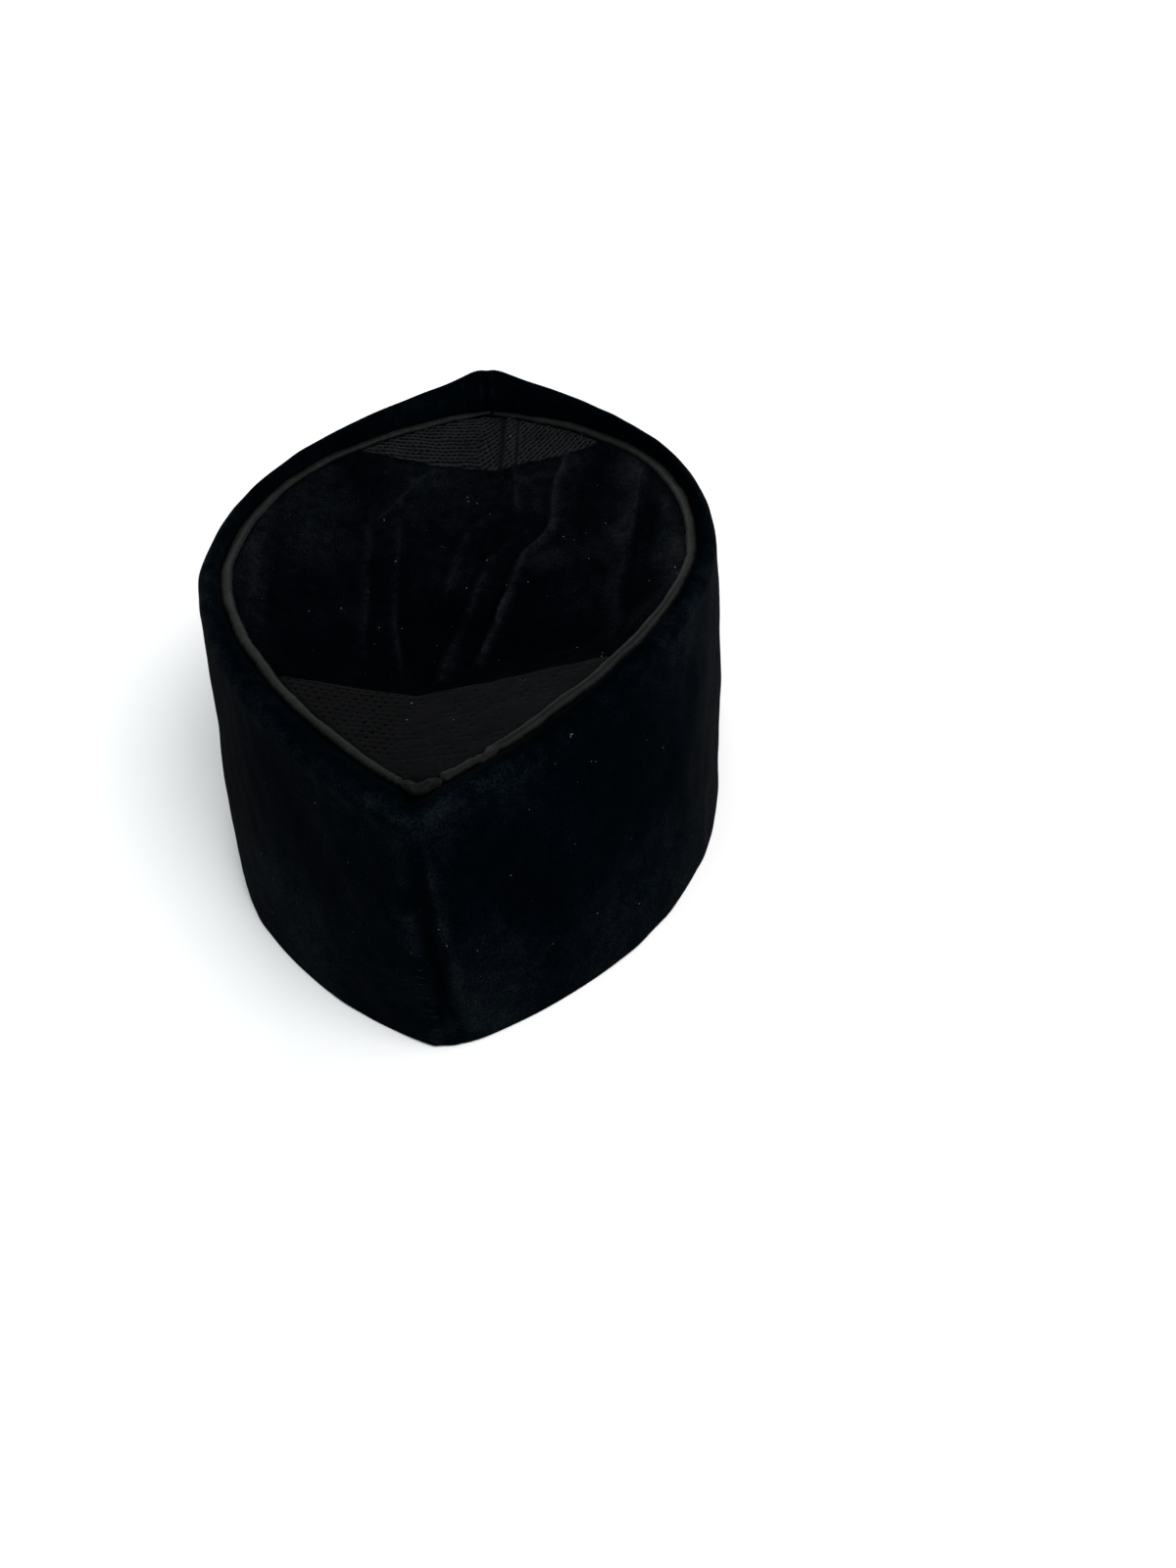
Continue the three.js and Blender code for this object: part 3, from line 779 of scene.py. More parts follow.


# The crown

# The folds in the crown: how high each stands, how wide its soft and its steep side are, which side is the
# steep one, how strong the painted highlight along it is, how wide that highlight is on either side, over
# what length the two ends fade, and where it runs, as pairs of y and x. The last five are soft folds near the
# edges.
CREASES = (
    (2.1, (2.5, 0.9), 1, 2.2, (1.5, 0.6), (8, 12), (
        (-71, -29), (-62, -28.5), (-58, -26.1), (-45, -25.5), (-31.2, -25.4), (-26.7, -22.7), (-22, -17.8),
        (-13.5, -15.5), (0.7, -13.3), (13, -11.1), (29, -8.3), (40, -6.4))),
    (0.8, (1.6, 1.2), -1, 1.2, (1.1, 0.8), (6, 5), (
        (-71, 9.5), (-63.7, 18.9), (-51.8, 25.0), (-42.8, 28.8), (-36.2, 32.2))),
    (0.8, (2.2, 1.0), -1, 1.0, (2.0, 0.7), (7, 6), (
        (-38, 34.2), (-19.3, 31.6), (-4.4, 30.2), (15, 28.3), (37, 24.8))),
    (1.1, (1.9, 0.8), -1, 1.3, (1.5, 0.6), (8, 3), (
        (-41, 24.8), (-34.6, 23.6), (-16.3, 22.2), (5, 20.4), (14.2, 19.3), (33.8, 14.9), (44, 12.4))),
    (0.9, (2.2, 1.0), 1, 1.5, (1.8, 0.7), (2, 12), (
        (-71, -10.7), (-59, -11.8), (-47, -12.8), (-40, -12.9))),
    (1.1, (2.4, 1.0), 1, 1.1, (1.6, 0.7), (7, 3), (
        (-30, -12.5), (-24.6, -10.3), (-18.7, -6.6), (-12.1, -4.6), (5.9, -1.8), (19.7, 0.5), (29.3, 2.7),
        (46, 3.0))),
    (0.8, (3.0, 1.0), 1, 1.1, (2.0, 0.7), (5, 10), (
        (-44, -8.0), (-42, -4.9), (-36, 1.2), (-24.7, 4.7), (-15, 5.8), (2, 7.4))),
    (1.0, (3.5, 0.9), -1, 1.7, (3.6, 0.6), (5, 6), (
        (-54, -57.5), (-49, -56.6), (-40, -55.7), (-30.7, -54.7), (-21, -54), (-13, -52.7))),
    (1.2, (4.2, 0.9), -1, 1.5, (3.8, 0.6), (6, 16), (
        (-31, -51.7), (-12, -51), (-2, -50.9), (7, -49.3), (32, -49.3), (45, -48))),
    (0.7, (1.6, 3.0), 1, 0.8, (1.4, 2.4), (10, 12), (
        (-40, -63.6), (-25, -62.8), (-6, -60.6), (9, -59.2))),
    (0.5, (2.2, 2.2), -1, 0.6, (1.8, 1.8), (12, 12), (
        (-20, 65), (-11, 64.4), (1, 61.8), (17, 59), (30, 54))),
    (0.25, (1.2, 0.8), -1, 0.5, (0.9, 0.6), (8, 8), (
        (-10, 60.5), (0, 60), (20, 56))),
)
# Where the crown is lighter or darker, from brushed pile and from painted highlight and shade: x and y, the
# reach along each, and the change.
CROWN_BRUSHED_AND_PAINTED_LIGHT = (
    ((52, -30), (15, 22), 1.0),
    ((-25, -17), (8, 5.5), 1.3),
    ((-52, -53), (6, 8), 2.3),
    ((-67, 0), (4.5, 26), 1.6),
    ((-50, -20), (9, 22), 0.5),
    ((1.5, 40), (2.6, 8), 1.0),
    ((13, 40), (2.2, 8), 0.7),
    ((-48, 30), (6, 12), 0.5),
    ((66, -22), (3.2, 17), 1.6),
    ((0, -64), (36, 10), 1.1),
    ((8, -46), (30, 14), 0.85),
    ((-38, -4), (13, 24), 0.45),
    ((-50, -28), (9, 12), 0.5),
    ((3, -20), (12, 10), 0.35),
    ((-20, -62.5), (9, 1.6), 1.0),
    ((-2, 12), (20, 16), -0.25),
    ((-35, 30), (14, 12), -0.3),
    ((30, 30), (16, 12), -0.15),
)
CROWN_ROWS = 208
CROWN_COLUMNS = 222
CROWN_THICKNESS = 1.2
CROWN_TUCK = 1.15
# The soft roll along the crown's edge: how far in, its reach and its height. The fold along the seam with the
# vent at the back has a rise, and a drop at the seam itself.
EDGE_ROLL = ((3.4, 2.6, 0.6),)
SEAM_RISE, SEAM_DROP = 0.35, 0.75


def crease(x, y, height, width, steep, light, glow, ends, run):
    """The rise that one crease adds, and the painted highlight along its soft side, with painted shade beside
    its steep side.
    """
    ys, xs = (np.array(v, float) for v in zip(*run))
    seed = int(abs(xs[0]) * 10)
    course = smooth_table(ys, xs, y, 1.6)
    ahead = smooth_table(ys, xs, y + 0.5, 1.6)
    offset = (x - course) / np.hypot(1, (ahead - course) / 0.5) * steep
    taper = ease(y, ys[0] - 1, ys[0] + ends[0]) * (1 - ease(y, ys[-1] - ends[1], ys[-1] + 2))
    taper = taper * (1 + 0.2 * swells(np.stack([np.broadcast_to(ys[0], y.shape), y], -1), 19, seed))
    rise = bell(offset, 0, np.where(offset < 0, *width)) - 0.35 * bell(offset, 2.6 * width[1], 1.3 * width[1])
    # Painted highlight on the soft side, which faces the light, and painted shade beside the steep side.
    lit = offset + 0.35 * glow[0]
    bright = bell(lit, 0, np.where(lit < 0, *glow))
    bright = bright - 0.24 * bell(offset, 1.3 + width[1], 1.0) / max(light, 1.0)
    patchy = 1 + 0.16 * swells(np.stack([x, y], -1), 3.2, seed + 1)
    return height * taper * rise, light * taper * bright * patchy


def crown_plan():
    """Places over the crown, with its front edge a little wavy, and how far each lies along it."""
    along = np.linspace(0, 1, CROWN_ROWS)[:, None]
    across = np.linspace(-1, 1, CROWN_COLUMNS)[None, :]
    middle = lerp(FRONT_SEAM["y"], BACK_SEAM["y"], along)
    x = across * (cloth_edge(middle) + CROWN_TUCK)
    y = middle + lerp(FRONT_SEAM["skew"], BACK_SEAM["skew"], along) * x
    ripple = uneven(np.stack([x, x * 0], -1), (0.35, 11, 21), (0.25, 4.5, 22), (0.14, 1.9, 27))
    return x, y + ripple * (1 - ease(along, 0, 0.06)), along


def crown():
    x, y, along = crown_plan()
    edge = cloth_edge(y)
    inside = edge - np.abs(x)
    from_seam = seam_y(BACK_SEAM, x) - y
    fullness = smooth_table(VALLEY["y"], VALLEY["fullness"], y)
    depth = smooth_table(VALLEY["y"], VALLEY["depth"], y) * valley_share(np.clip(x, -edge, edge), y, fullness)
    tucked = np.where(inside < 0, TUCK_DROP * smooth(-inside / CROWN_TUCK), 0)
    z = piping_height(y) - EDGE_DROP - depth - tucked
    rise, light = zip(*(crease(x, y, *fold) for fold in CREASES))
    rise = sum(rise, bells(inside, EDGE_ROLL) * (1 - ease(np.abs(y + 10), 48, 62)))
    ends = ease(along, 0.0, 0.012) * ease(1 - along, 0.0, 0.012)
    from_edge = ease(inside, 0.5, 5)
    z = z + rise * from_edge * (0.25 + 0.75 * ends)
    z = z + from_edge * uneven(np.stack([x, y, z], -1), (0.2, 19, 23), (0.07, 6.5, 24))
    z = z + SEAM_RISE * bell(from_seam, 1.0, 0.9) - SEAM_DROP * (1 - ease(from_seam, -0.1, 0.8))
    points = np.stack([x, y, z], -1)

    # Painted light on the crown: the creases' painted highlights, a painted highlight on the roll along the
    # side edges, the listed patches, and painted shade where the crown falls away beyond the seam with the
    # back vent.
    light = sum(light, 1) * (0.8 + 0.5 * bell(inside, 3.0, 3.6) * (1 - ease(np.abs(y + 5), 50, 66)))
    for (cx, cy), (rx, ry), change in CROWN_BRUSHED_AND_PAINTED_LIGHT:
        light = light + change * bell(x, cx, rx) * bell(y, cy, ry)
    light = light * (1 - 0.55 * bell(from_seam, 0, 16)) * (1 - 0.45 * bell(from_seam, 0, 3.5))
    light = light * (1 + 0.1 * swells(points, 26, 25)) * (1 + 0.1 * swells(points, 4, 26))
    nap = np.tile(np.clip(light, 0.2, 5).ravel(), 2)
    both, closed, count = thick_sheet(points, CROWN_THICKNESS)
    which = [0] * count + [1] * count + [0] * (len(closed) - 2 * count)
    cloths = [velvet_crown, back_cloth]
    return make_piece("velvet_crown", both, closed, cloths, {"nap": nap}, face_materials=which)


# The net vents

HOLE_SIDES = 8
NET_THICKNESS = 0.5
NET_TUCK = 1.1
UNDER_CROWN_SLOPE = 0.8
# How far pinholes stay from the edge, from the tip and from a seam in the net.
HOLE_MARGIN, TIP_MARGIN, SEAM_MARGIN = 1.1, 2.2, 1.2
# A triangle whose centre is within this share of a pinhole is cut out, and so is a sliver, whose area is less
# than this share of its longest side squared.
HOLE_SHARE = 0.86
SLIVER = 0.004
SHADE_SHEET_ROWS = 40
SHADE_SHEET_COLUMNS = 64
SHADE_SHEET_GAP = 0.55
SHADE_SHEET_THICKNESS = 0.3
# How the net lies in each vent. Rows of pinholes run at a slope to the width: one slope, or two that meet at
# "turn". A seam has its x, its groove's width, and how dark it is, how far beside itself and how wide.
FRONT_NET = dict(
    pitch=2.05, row=1.82, hole=(0.66, 0.36), slopes=(0.12, 1.05), turn=2.0, spread=0.26, ribbed=1.3,
    relief=0.24, tone=1.36, open_side=0.0, seams=((-6.6, 0.55, 0.75, 0.2, 1.0), (-11.8, 0.42, 0.7, 0.0, 0.6)),
)
# The back vent's much lower tone is painted shade: the same net as the front, made darker.
BACK_NET = dict(
    pitch=2.6, row=2.45, hole=(0.47, 0.5), slopes=(0.06, 0.06), turn=0.0, spread=0.35, ribbed=0.02,
    relief=0.0, tone=0.225, open_side=0.62, seams=(),
)


def turned(x, y, slope, a, b):
    """The place that lies a along and b across a row with a slope, from a place on it."""
    tilt = math.atan(slope)
    return x + a * math.cos(tilt) - b * math.sin(tilt), y + a * math.sin(tilt) + b * math.cos(tilt)


class Vent:
    """The net in one end of the crown. Its direction is 1 at the back and -1 at the front."""

    def __init__(self, name, seam, direction, weave, seed):
        self.name, self.seam, self.direction, self.weave, self.seed = name, seam, direction, weave, seed
        self.tip = seam["y"]
        while cloth_edge(self.tip) > 0.8:
            self.tip += 0.1 * direction
        # The outline's places along one side, and how far out each lies.
        self.ys = seam["y"] + direction * np.arange(0, abs(self.tip - seam["y"]) + 0.6, 0.55)
        self.reach = np.maximum(0.5, cloth_edge(self.up_to_tip(self.ys))) + NET_TUCK

    def up_to_tip(self, y):
        return np.minimum(y, self.tip) if self.direction > 0 else np.maximum(y, self.tip)

    def height(self, x, y):
        held_y = self.up_to_tip(y)
        edge = np.maximum(0.4, cloth_edge(held_y))
        held = np.clip(x, -edge, edge)
        start = seam_y(self.seam, held)
        along = np.clip((held_y - start) / (self.tip - start), 0, 1)
        depth = self.seam["depth"] * (1 - along) ** VENT_SLOPE_POWER
        depth = depth * valley_share(held, held_y, VENT_FULLNESS)
        under_crown = np.maximum(0, -(y - seam_y(self.seam, x)) * self.direction)
        under_piping = np.clip((np.abs(x) - edge) / NET_TUCK, 0, 1)
        depth = depth + UNDER_CROWN_SLOPE * under_crown + TUCK_DROP * smooth(under_piping)
        return piping_height(held_y) - EDGE_DROP - depth

    def inside(self, x, y, margin):
        past_seam = (y - float(seam_y(self.seam, x))) * self.direction
        return abs(x) < float(cloth_edge(y)) - margin and past_seam > 0 and abs(y - self.tip) > TIP_MARGIN

    def shut(self, x):
        """How far the net closes up: in the back vent it is stretched open on the wearer's left alone."""
        return self.weave["open_side"] * (1 - ease(x, 2, 17))

    def pinholes(self):
        """Pinholes as x, y, slope and size, and the loops where the net is closed as x, y and slope."""
        rng = np.random.default_rng(self.seed)
        weave, direction = self.weave, self.direction
        holes, loops = [], []
        for part, slope in enumerate(weave["slopes"]):
            norm = math.hypot(1, slope)
            for row, column in np.ndindex(141, 141):
                row, column = row - 70, column - 70
                u = (column + 0.5 * (row % 2)) * weave["pitch"]
                v = (row + 0.42) * weave["row"]
                sway = weave["spread"] * math.sin(u / 6 + self.seed)
                u, v = u + rng.normal(0, 0.06), v + rng.normal(0, 0.05) + sway
                size = float(np.clip(rng.normal(1, 0.18), 0.55, 1.45))
                x = (u - slope * v * direction) / norm
                y = self.seam["y"] + (slope * u + v * direction) / norm
                if (x > weave["turn"]) != (part == 0) or not self.inside(x, y, HOLE_MARGIN):
                    continue
                if any(abs(x - seam[0]) < SEAM_MARGIN for seam in weave["seams"]):
                    continue
                shut = self.shut(x)
                if rng.random() < shut:
                    loops.append((x, y, slope))
                else:
                    holes.append((x, y, slope, size * (1 - shut)))
        return holes, loops

    def plan(self, holes, loops):
        """Points and edges for the net's mesh: the outline, the pinholes, and points between them."""
        (wide, high), pitch, row = self.weave["hole"], self.weave["pitch"], self.weave["row"]
        start = np.linspace(-self.reach[0], self.reach[0], 150)
        points = [(x, float(seam_y(self.seam, x)) - 1.0 * self.direction) for x in start]
        points += [*zip(self.reach[1:], self.ys[1:]), *zip(-self.reach[:0:-1], self.ys[:0:-1])]
        edges = [(i, (i + 1) % len(points)) for i in range(len(points))]
        for *place, size in holes:
            base = len(points)
            for k in range(HOLE_SIDES):
                angle = 2 * math.pi * (k + 0.5) / HOLE_SIDES
                points.append(turned(*place, size * wide * math.cos(angle), size * high * math.sin(angle)))
            edges += [(base + k, base + (k + 1) % HOLE_SIDES) for k in range(HOLE_SIDES)]
            # Points on the rib beyond the hole, so that the ribs can stand up from the rows of holes.
            points += [turned(*place, shift * pitch, 0.5 * row * self.direction) for shift in (-0.25, 0.25)]
        # Where the net is closed, plain points stand for the loops.
        shares = np.linspace(-0.4, 0.4, 5)
        points += [turned(*place, a * pitch, b * row) for place in loops for a in shares for b in shares]
        # Points along the seams in the net, close enough for their narrow grooves.
        for seam in self.weave["seams"]:
            for x in seam[0] + np.array((-0.9, -0.55, -0.25, 0.0, 0.25, 0.55, 0.9)):
                ys = np.arange(self.seam["y"], self.tip, 0.5 * self.direction)
                points += [(x, y) for y in ys if self.inside(x, y, 0.3)]
        return points, edges

    def mesh(self):
        """The net's plan as points and triangles, without its pinholes, slivers and what lies outside it."""
        holes, loops = self.pinholes()
        points, edges = self.plan(holes, loops)
        solved = delaunay_2d_cdt([Vector(p) for p in points], edges, [], 1, 1e-4, True)
        plan = np.array([tuple(p) for p in solved[0]])
        triangles = np.array([tuple(f) for f in solved[2]])
        centres = plan[triangles].mean(1)
        x, y = centres.T
        keep = np.abs(x) < np.interp(y * self.direction, self.ys * self.direction, self.reach) + 0.02
        wide, high = self.weave["hole"]
        for hole_x, hole_y, slope, size in holes:
            a, b = turned(0, 0, -slope, x - hole_x, y - hole_y)
            keep &= (a / (size * wide)) ** 2 + (b / (size * high)) ** 2 >= HOLE_SHARE
        corner = plan[triangles]
        longest = ((corner - np.roll(corner, 1, axis=1)) ** 2).sum(-1).max(1)
        spans = corner[:, 1:] - corner[:, :1]
        area = np.abs(spans[:, 0, 0] * spans[:, 1, 1] - spans[:, 0, 1] * spans[:, 1, 0])
        return plan, triangles[keep & (area > SLIVER * longest)]

    def surface(self, plan):
        """The height and the tone at each point of the plan, and where it lies in the weave."""
        weave, seed = self.weave, self.seed
        x, y = plan.T
        slope = np.where(x > weave["turn"], *weave["slopes"])
        norm = np.hypot(1, slope)
        u = (x + slope * (y - self.seam["y"])) / norm
        v = (y - self.seam["y"] - slope * x) * self.direction / norm
        v = (v - weave["spread"] * np.sin(u / 6 + seed)) / weave["row"] - 0.92
        from_edge = cloth_edge(y) - np.abs(x)
        z = self.height(x, y) + weave["relief"] * np.cos(2 * math.pi * v)
        z = z + 0.05 * self.shut(x) * swells(plan, 1.6, seed + 3, 40)
        z = z + 0.1 * swells(plan, 9, seed + 1) * ease(from_edge, 0.5, 4)
        nap = weave["tone"] * (1 + 0.1 * swells(plan, 16, seed + 2))
        # Painted shade: the net is darker near its edge under the piping, and the back vent's net is lighter
        # towards the wearer's right and darker near its tip.
        nap = nap * (0.75 + 0.25 * ease(from_edge, 0.0, 2.5))
        if self.direction > 0:
            nap = nap * (1 + 0.8 * ease(x, 2, -24) - 0.12 * ease(y, 84, 97))
            nap = nap * (1 + 0.1 * swells(plan, 2.4, seed + 4, 40))
        for seam_x, groove_width, dark, beside, dark_width in weave["seams"]:
            z = z - 0.55 * bell(x, seam_x, groove_width)
            nap = nap * (1 - dark * bell(x, seam_x + beside, dark_width))
        if weave["seams"]:
            # The strip between the two seams stands a little higher.
            high, low = (seam[0] for seam in weave["seams"])
            z = z + 0.35 * ease(x, low, low + 1.2) * ease(x, high, high - 1.2)
        return z, nap, np.column_stack([u / weave["pitch"], v])

    def make_net(self):
        plan, triangles = self.mesh()
        z, nap, uv = self.surface(plan)
        solid = np.column_stack([plan, z])
        normal = np.zeros_like(solid)
        a, b, c = (solid[triangles[:, k]] for k in range(3))
        face_normal = np.cross(b - a, c - a)
        flip = face_normal[:, 2] < 0
        face_normal *= np.sign(face_normal[:, 2:3])
        for k in range(3):
            np.add.at(normal, triangles[:, k], face_normal)
        normal /= np.maximum(1e-9, np.linalg.norm(normal, axis=1))[:, None]
        triangles[flip] = triangles[flip][:, ::-1]
        both, closed = thickened(solid, triangles.tolist(), normal, NET_THICKNESS)
        used = np.unique([i for face in closed for i in face])
        index = np.full(len(both), -1)
        index[used] = np.arange(len(used))
        closed = [index[face].tolist() for face in closed]
        marks = {"nap": np.tile(nap, 2)[used], "ribbed": np.full(len(used), self.weave["ribbed"])}
        return make_piece(self.name, both[used], closed, [net], marks, uv=np.tile(uv, (2, 1))[used])

    def make_shade_sheet(self):
        """A dark sheet close under the net, painted shade: it stands in for the shade inside the cap, so that
        nothing pale shows through the pinholes.
        """
        share = np.linspace(0, 1, SHADE_SHEET_ROWS)[:, None]
        across = np.linspace(-1, 1, SHADE_SHEET_COLUMNS)[None, :]
        middle = lerp(self.seam["y"] + 0.4 * self.direction, self.tip - 1.2 * self.direction, share)
        x = across * np.maximum(0.5, cloth_edge(middle) - 0.3)
        y = middle + self.seam["skew"] * x
        grid = np.stack([x, y, self.height(x, y) - NET_THICKNESS - SHADE_SHEET_GAP], -1)
        both, closed, _ = thick_sheet(grid, SHADE_SHEET_THICKNESS)
        return make_piece(self.name.replace("vent", "shade_sheet"), both, closed, [back_cloth])


# The piping

PIPING_WIDE = 1.72
PIPING_HIGH = 1.08
PIPING_ROUND = 22
PIPING_STEP = 0.34
# How far from the back tip each strip begins, and how far past the front tip it ends.
LEFT_ENDS = 4.8, 1.6
RIGHT_ENDS = 6.0, -1.6
# The left strip's knots and dents: how far from its back end, their width and their share.
KNOTS = ((1.2, 0.9, 1.0), (3.7, 0.8, 0.8), (6.4, 1.0, 0.45))
DENTS = ((2.5, 0.6, 1.0), (5.1, 0.7, 0.7))
# Along the right strip from the back tip: where it stops being rough, where the split in its top opens and
# closes, and where it is pushed outwards and inwards, with the reach and the distance.
ROUGH_FADES = 27, 17
SPLIT_DEPTH, SPLIT_OPENS, SPLIT_CLOSES = 0.42, (21, 27), (110, 92)
PUSHED = ((19.5, 1.5, 0.55), (23.5, 2.0, -0.35))


def rounded_off(values, spread):
    return blurred(values, spread, 3 * spread, mode="reflect", reflect_type="odd")


def piping_course(side, run):
    """The middle of one strip, and its outward and upward directions."""
    length = piping_line.length
    line = piping_line.at(1 - np.minimum(run, 2 * length - run) / length)
    x, y = rounded_off(side * np.sign(length - run) * line[:, 0], 3), rounded_off(line[:, 1], 3)
    middle = np.column_stack([x, y, piping_height(y)])
    along = np.gradient(middle, axis=0)
    along /= np.linalg.norm(along, axis=1)[:, None]
    out = np.cross(along, [0, 0, 1.0])
    out /= np.linalg.norm(out, axis=1)[:, None]
    out *= np.sign((out[:, :2] * middle[:, :2]).sum(1).mean())
    up = np.cross(out, along)
    return middle, out, up * np.sign(up[:, 2:3])


def before_tip(run, first, last):
    """How far a change has gone that comes between two distances before the front tip."""
    return ease(run, piping_line.length - first, piping_line.length - last)


def mark_left(strip, run):
    """The left strip: knotted and dented at its near end, thinner and darker where it laps the front tip."""
    run_in, over = run - run[0], before_tip(run, 8, 3)
    strip.wide *= lerp(0.76, 1.0, ease(run, 20, 95)) * (1 - 0.14 * before_tip(run, 110, 60))
    strip.wide *= 1 - 0.3 * over
    knots, dents = bells(run_in, KNOTS), bells(run_in, DENTS)
    strip.wide *= 1 + 0.12 * knots - 0.14 * dents
    strip.high *= (1 - 0.35 * over) * (1 + 0.12 * knots - 0.1 * dents)
    strip.out += 0.12 * knots
    strip.nap *= (1 - 0.78 * over) * (1.0 - 0.45 * ease(run_in, 9, 0) + 0.1 * bell(run, 60, 40))


def mark_right(strip, run):
    """The right strip: rough, then split along its top, and flattened and wavy near the front tip."""
    rough = ease(run, *ROUGH_FADES)
    strip.wide *= 1 - 0.16 * rough + 0.16 * bell(run, 20.5, 1.3) + 0.1 * rough * swells_along(run, 2.6, 43)
    strip.out += bells(run, PUSHED)
    strip.out += 0.14 * rough * swells_along(run, 3.2, 44)
    strip.high *= 1 - 0.12 * rough + 0.22 * bell(run, 20.0, 1.5)
    strip.up += 0.25 * bell(run, 8.0, 3)
    strip.split += SPLIT_DEPTH * ease(run, *SPLIT_OPENS) * ease(run, *SPLIT_CLOSES)
    strip.nap *= (1 - 0.22 * rough) * (1 - 0.45 * bell(run, run[0], 2.0))
    front, wavy = before_tip(run, 24, 17), before_tip(run, 16, 11) * (1 - before_tip(run, 8, 5))
    strip.wide *= 1 - 0.28 * front + 0.12 * wavy * np.sin(run * 1.9)
    strip.high *= 1 - 0.35 * front
    strip.up -= 0.2 * front
    strip.nap *= (1 - 0.45 * front) * (1 - 0.7 * before_tip(run, 10, 6.5))


def piping(side):
    """One strip. Distances run from the back tip, where the photographed end is."""
    first, past = LEFT_ENDS if side > 0 else RIGHT_ENDS
    run = np.arange(first, piping_line.length + past, PIPING_STEP)
    middle, out, up = piping_course(side, run)
    wide = 1 + 0.045 * swells_along(run, 14, 31 + side) + 0.035 * swells_along(run, 3.4, 33 + side)
    strip = SimpleNamespace(
        wide=PIPING_WIDE * wide,
        high=PIPING_HIGH * (1 + 0.05 * swells_along(run, 11, 35 + side)),
        out=0.1 * swells_along(run, 24, 37 + side),
        up=0.08 * swells_along(run, 19, 39 + side),
        split=0.1 + 0 * run,
        nap=(1 + 0.1 * swells_along(run, 22, 41 + side)) * (1 + 0.13 * swells_along(run, 3.0, 46 + side)),
    )
    if side > 0:
        mark_left(strip, run)
    else:
        mark_right(strip, run)
    ends = np.sqrt(np.clip(np.minimum((run - run[0]) / 1.1, (run[-1] - run) / 1.1) + 0.02, 0, 1))
    grid, marks, uv = [], [], []
    for k in range(PIPING_ROUND):
        angle = 2 * math.pi * k / PIPING_ROUND
        c, s = math.cos(angle), math.sin(angle)
        c = math.copysign(abs(c) ** 0.9, c)
        above = max(0.0, s)
        dip = strip.split * above * math.exp(-(((c - 0.18) / 0.2) ** 2))
        lateral = strip.wide * c * ends + strip.out
        vertical = strip.high * (s * (1 if s > 0 else 0.9) - dip) * ends + strip.up
        grid.append(middle + out * lateral[:, None] + up * vertical[:, None])
        # Painted light on the piping: lighter on its top than its underside, painted shade in the split along
        # its top, and on the right strip's outer side near the back tip.
        outer_shade = ease(run, 27, 18) * max(0.0, c) if side < 0 else 0
        marks.append(strip.nap * (1 - 0.6 * dip / 0.52) * (0.8 + 0.2 * above) * (1 - 0.55 * outer_shade))
        uv.append(np.column_stack([np.full_like(run, k / PIPING_ROUND), run]))
    grid, marks, uv = (np.stack(values, 1) for values in (grid, marks, uv))
    name = f"satin_piping_{'left' if side > 0 else 'right'}"
    points, faces, uv = grid.reshape(-1, 3), loft_faces(*marks.shape), uv.reshape(-1, 2)
    return make_piece(name, points, faces, [piping_satin], {"nap": marks.ravel()}, uv=uv)


def corner_stub():
    """The dull bound end that wraps the back tip between the two strips of piping."""
    run = np.linspace(-6.6, 5.2, 46)
    line = piping_line.at(1 - np.abs(run) / piping_line.length)
    x, y = rounded_off(np.sign(run) * line[:, 0], 4), rounded_off(line[:, 1], 4)
    z = piping_height(y) + 0.15
    ends = np.sqrt(np.clip(np.minimum(run - run[0], run[-1] - run) / 1.6 + 0.05, 0, 1))
    radii = 1.75 * (1 + 0.06 * swells_along(run, 4.2, 51)) * ends
    y = y + 0.5 * ease(run, 1, -5) + 0.12 * swells_along(run, 5, 52)
    points, faces = tube(np.column_stack([x, y, z + 0.16 * swells_along(run, 3, 53)]), radii, 18, 0.72)
    points = points + 0.07 * swells(points, 2.2, 54)[:, None] * np.array([0.3, 0.6, 0.6])
    nap = 0.5 + 0.18 * swells(points, 1.6, 55)
    return make_piece("piping_corner", points, faces, [worn_cloth], {"nap": nap})


# Building

band_left, band_right = Panel(1).make(), Panel(-1).make()
crown_piece = crown()
front = Vent("net_vent_front", FRONT_SEAM, -1, FRONT_NET, 71)
back = Vent("net_vent_back", BACK_SEAM, 1, BACK_NET, 72)
vent_front, shade_sheet_front = front.make_net(), front.make_shade_sheet()
vent_back, shade_sheet_back = back.make_net(), back.make_shade_sheet()
piping_left, piping_right = piping(1), piping(-1)
stub = corner_stub()


def surface_of(*pieces):
    """The faces of several pieces as one surface, in metres."""
    parts = []
    for mesh in (piece.data for piece in pieces):
        parts.append(([v.co.copy() for v in mesh.vertices], [list(p.vertices) for p in mesh.polygons]))
    points, faces = gather(parts)
    return BVHTree.FromPolygons(points.tolist(), faces)


surface = surface_of(band_left, band_right, crown_piece, vent_front, vent_back, piping_left, piping_right)

# Camera

CAMERA_AT = Vector((-59.8, 326.7, 285.6))
CAMERA_FORWARD = Vector((0.0579, -0.7273, -0.6839)).normalized()
CAMERA_UP = Vector((-0.0251, -0.6859, 0.7273))
FOCAL_PIXELS = 1300.0
IMAGE_WIDTH, IMAGE_HEIGHT = 1200, 1600
SENSOR = 36.0

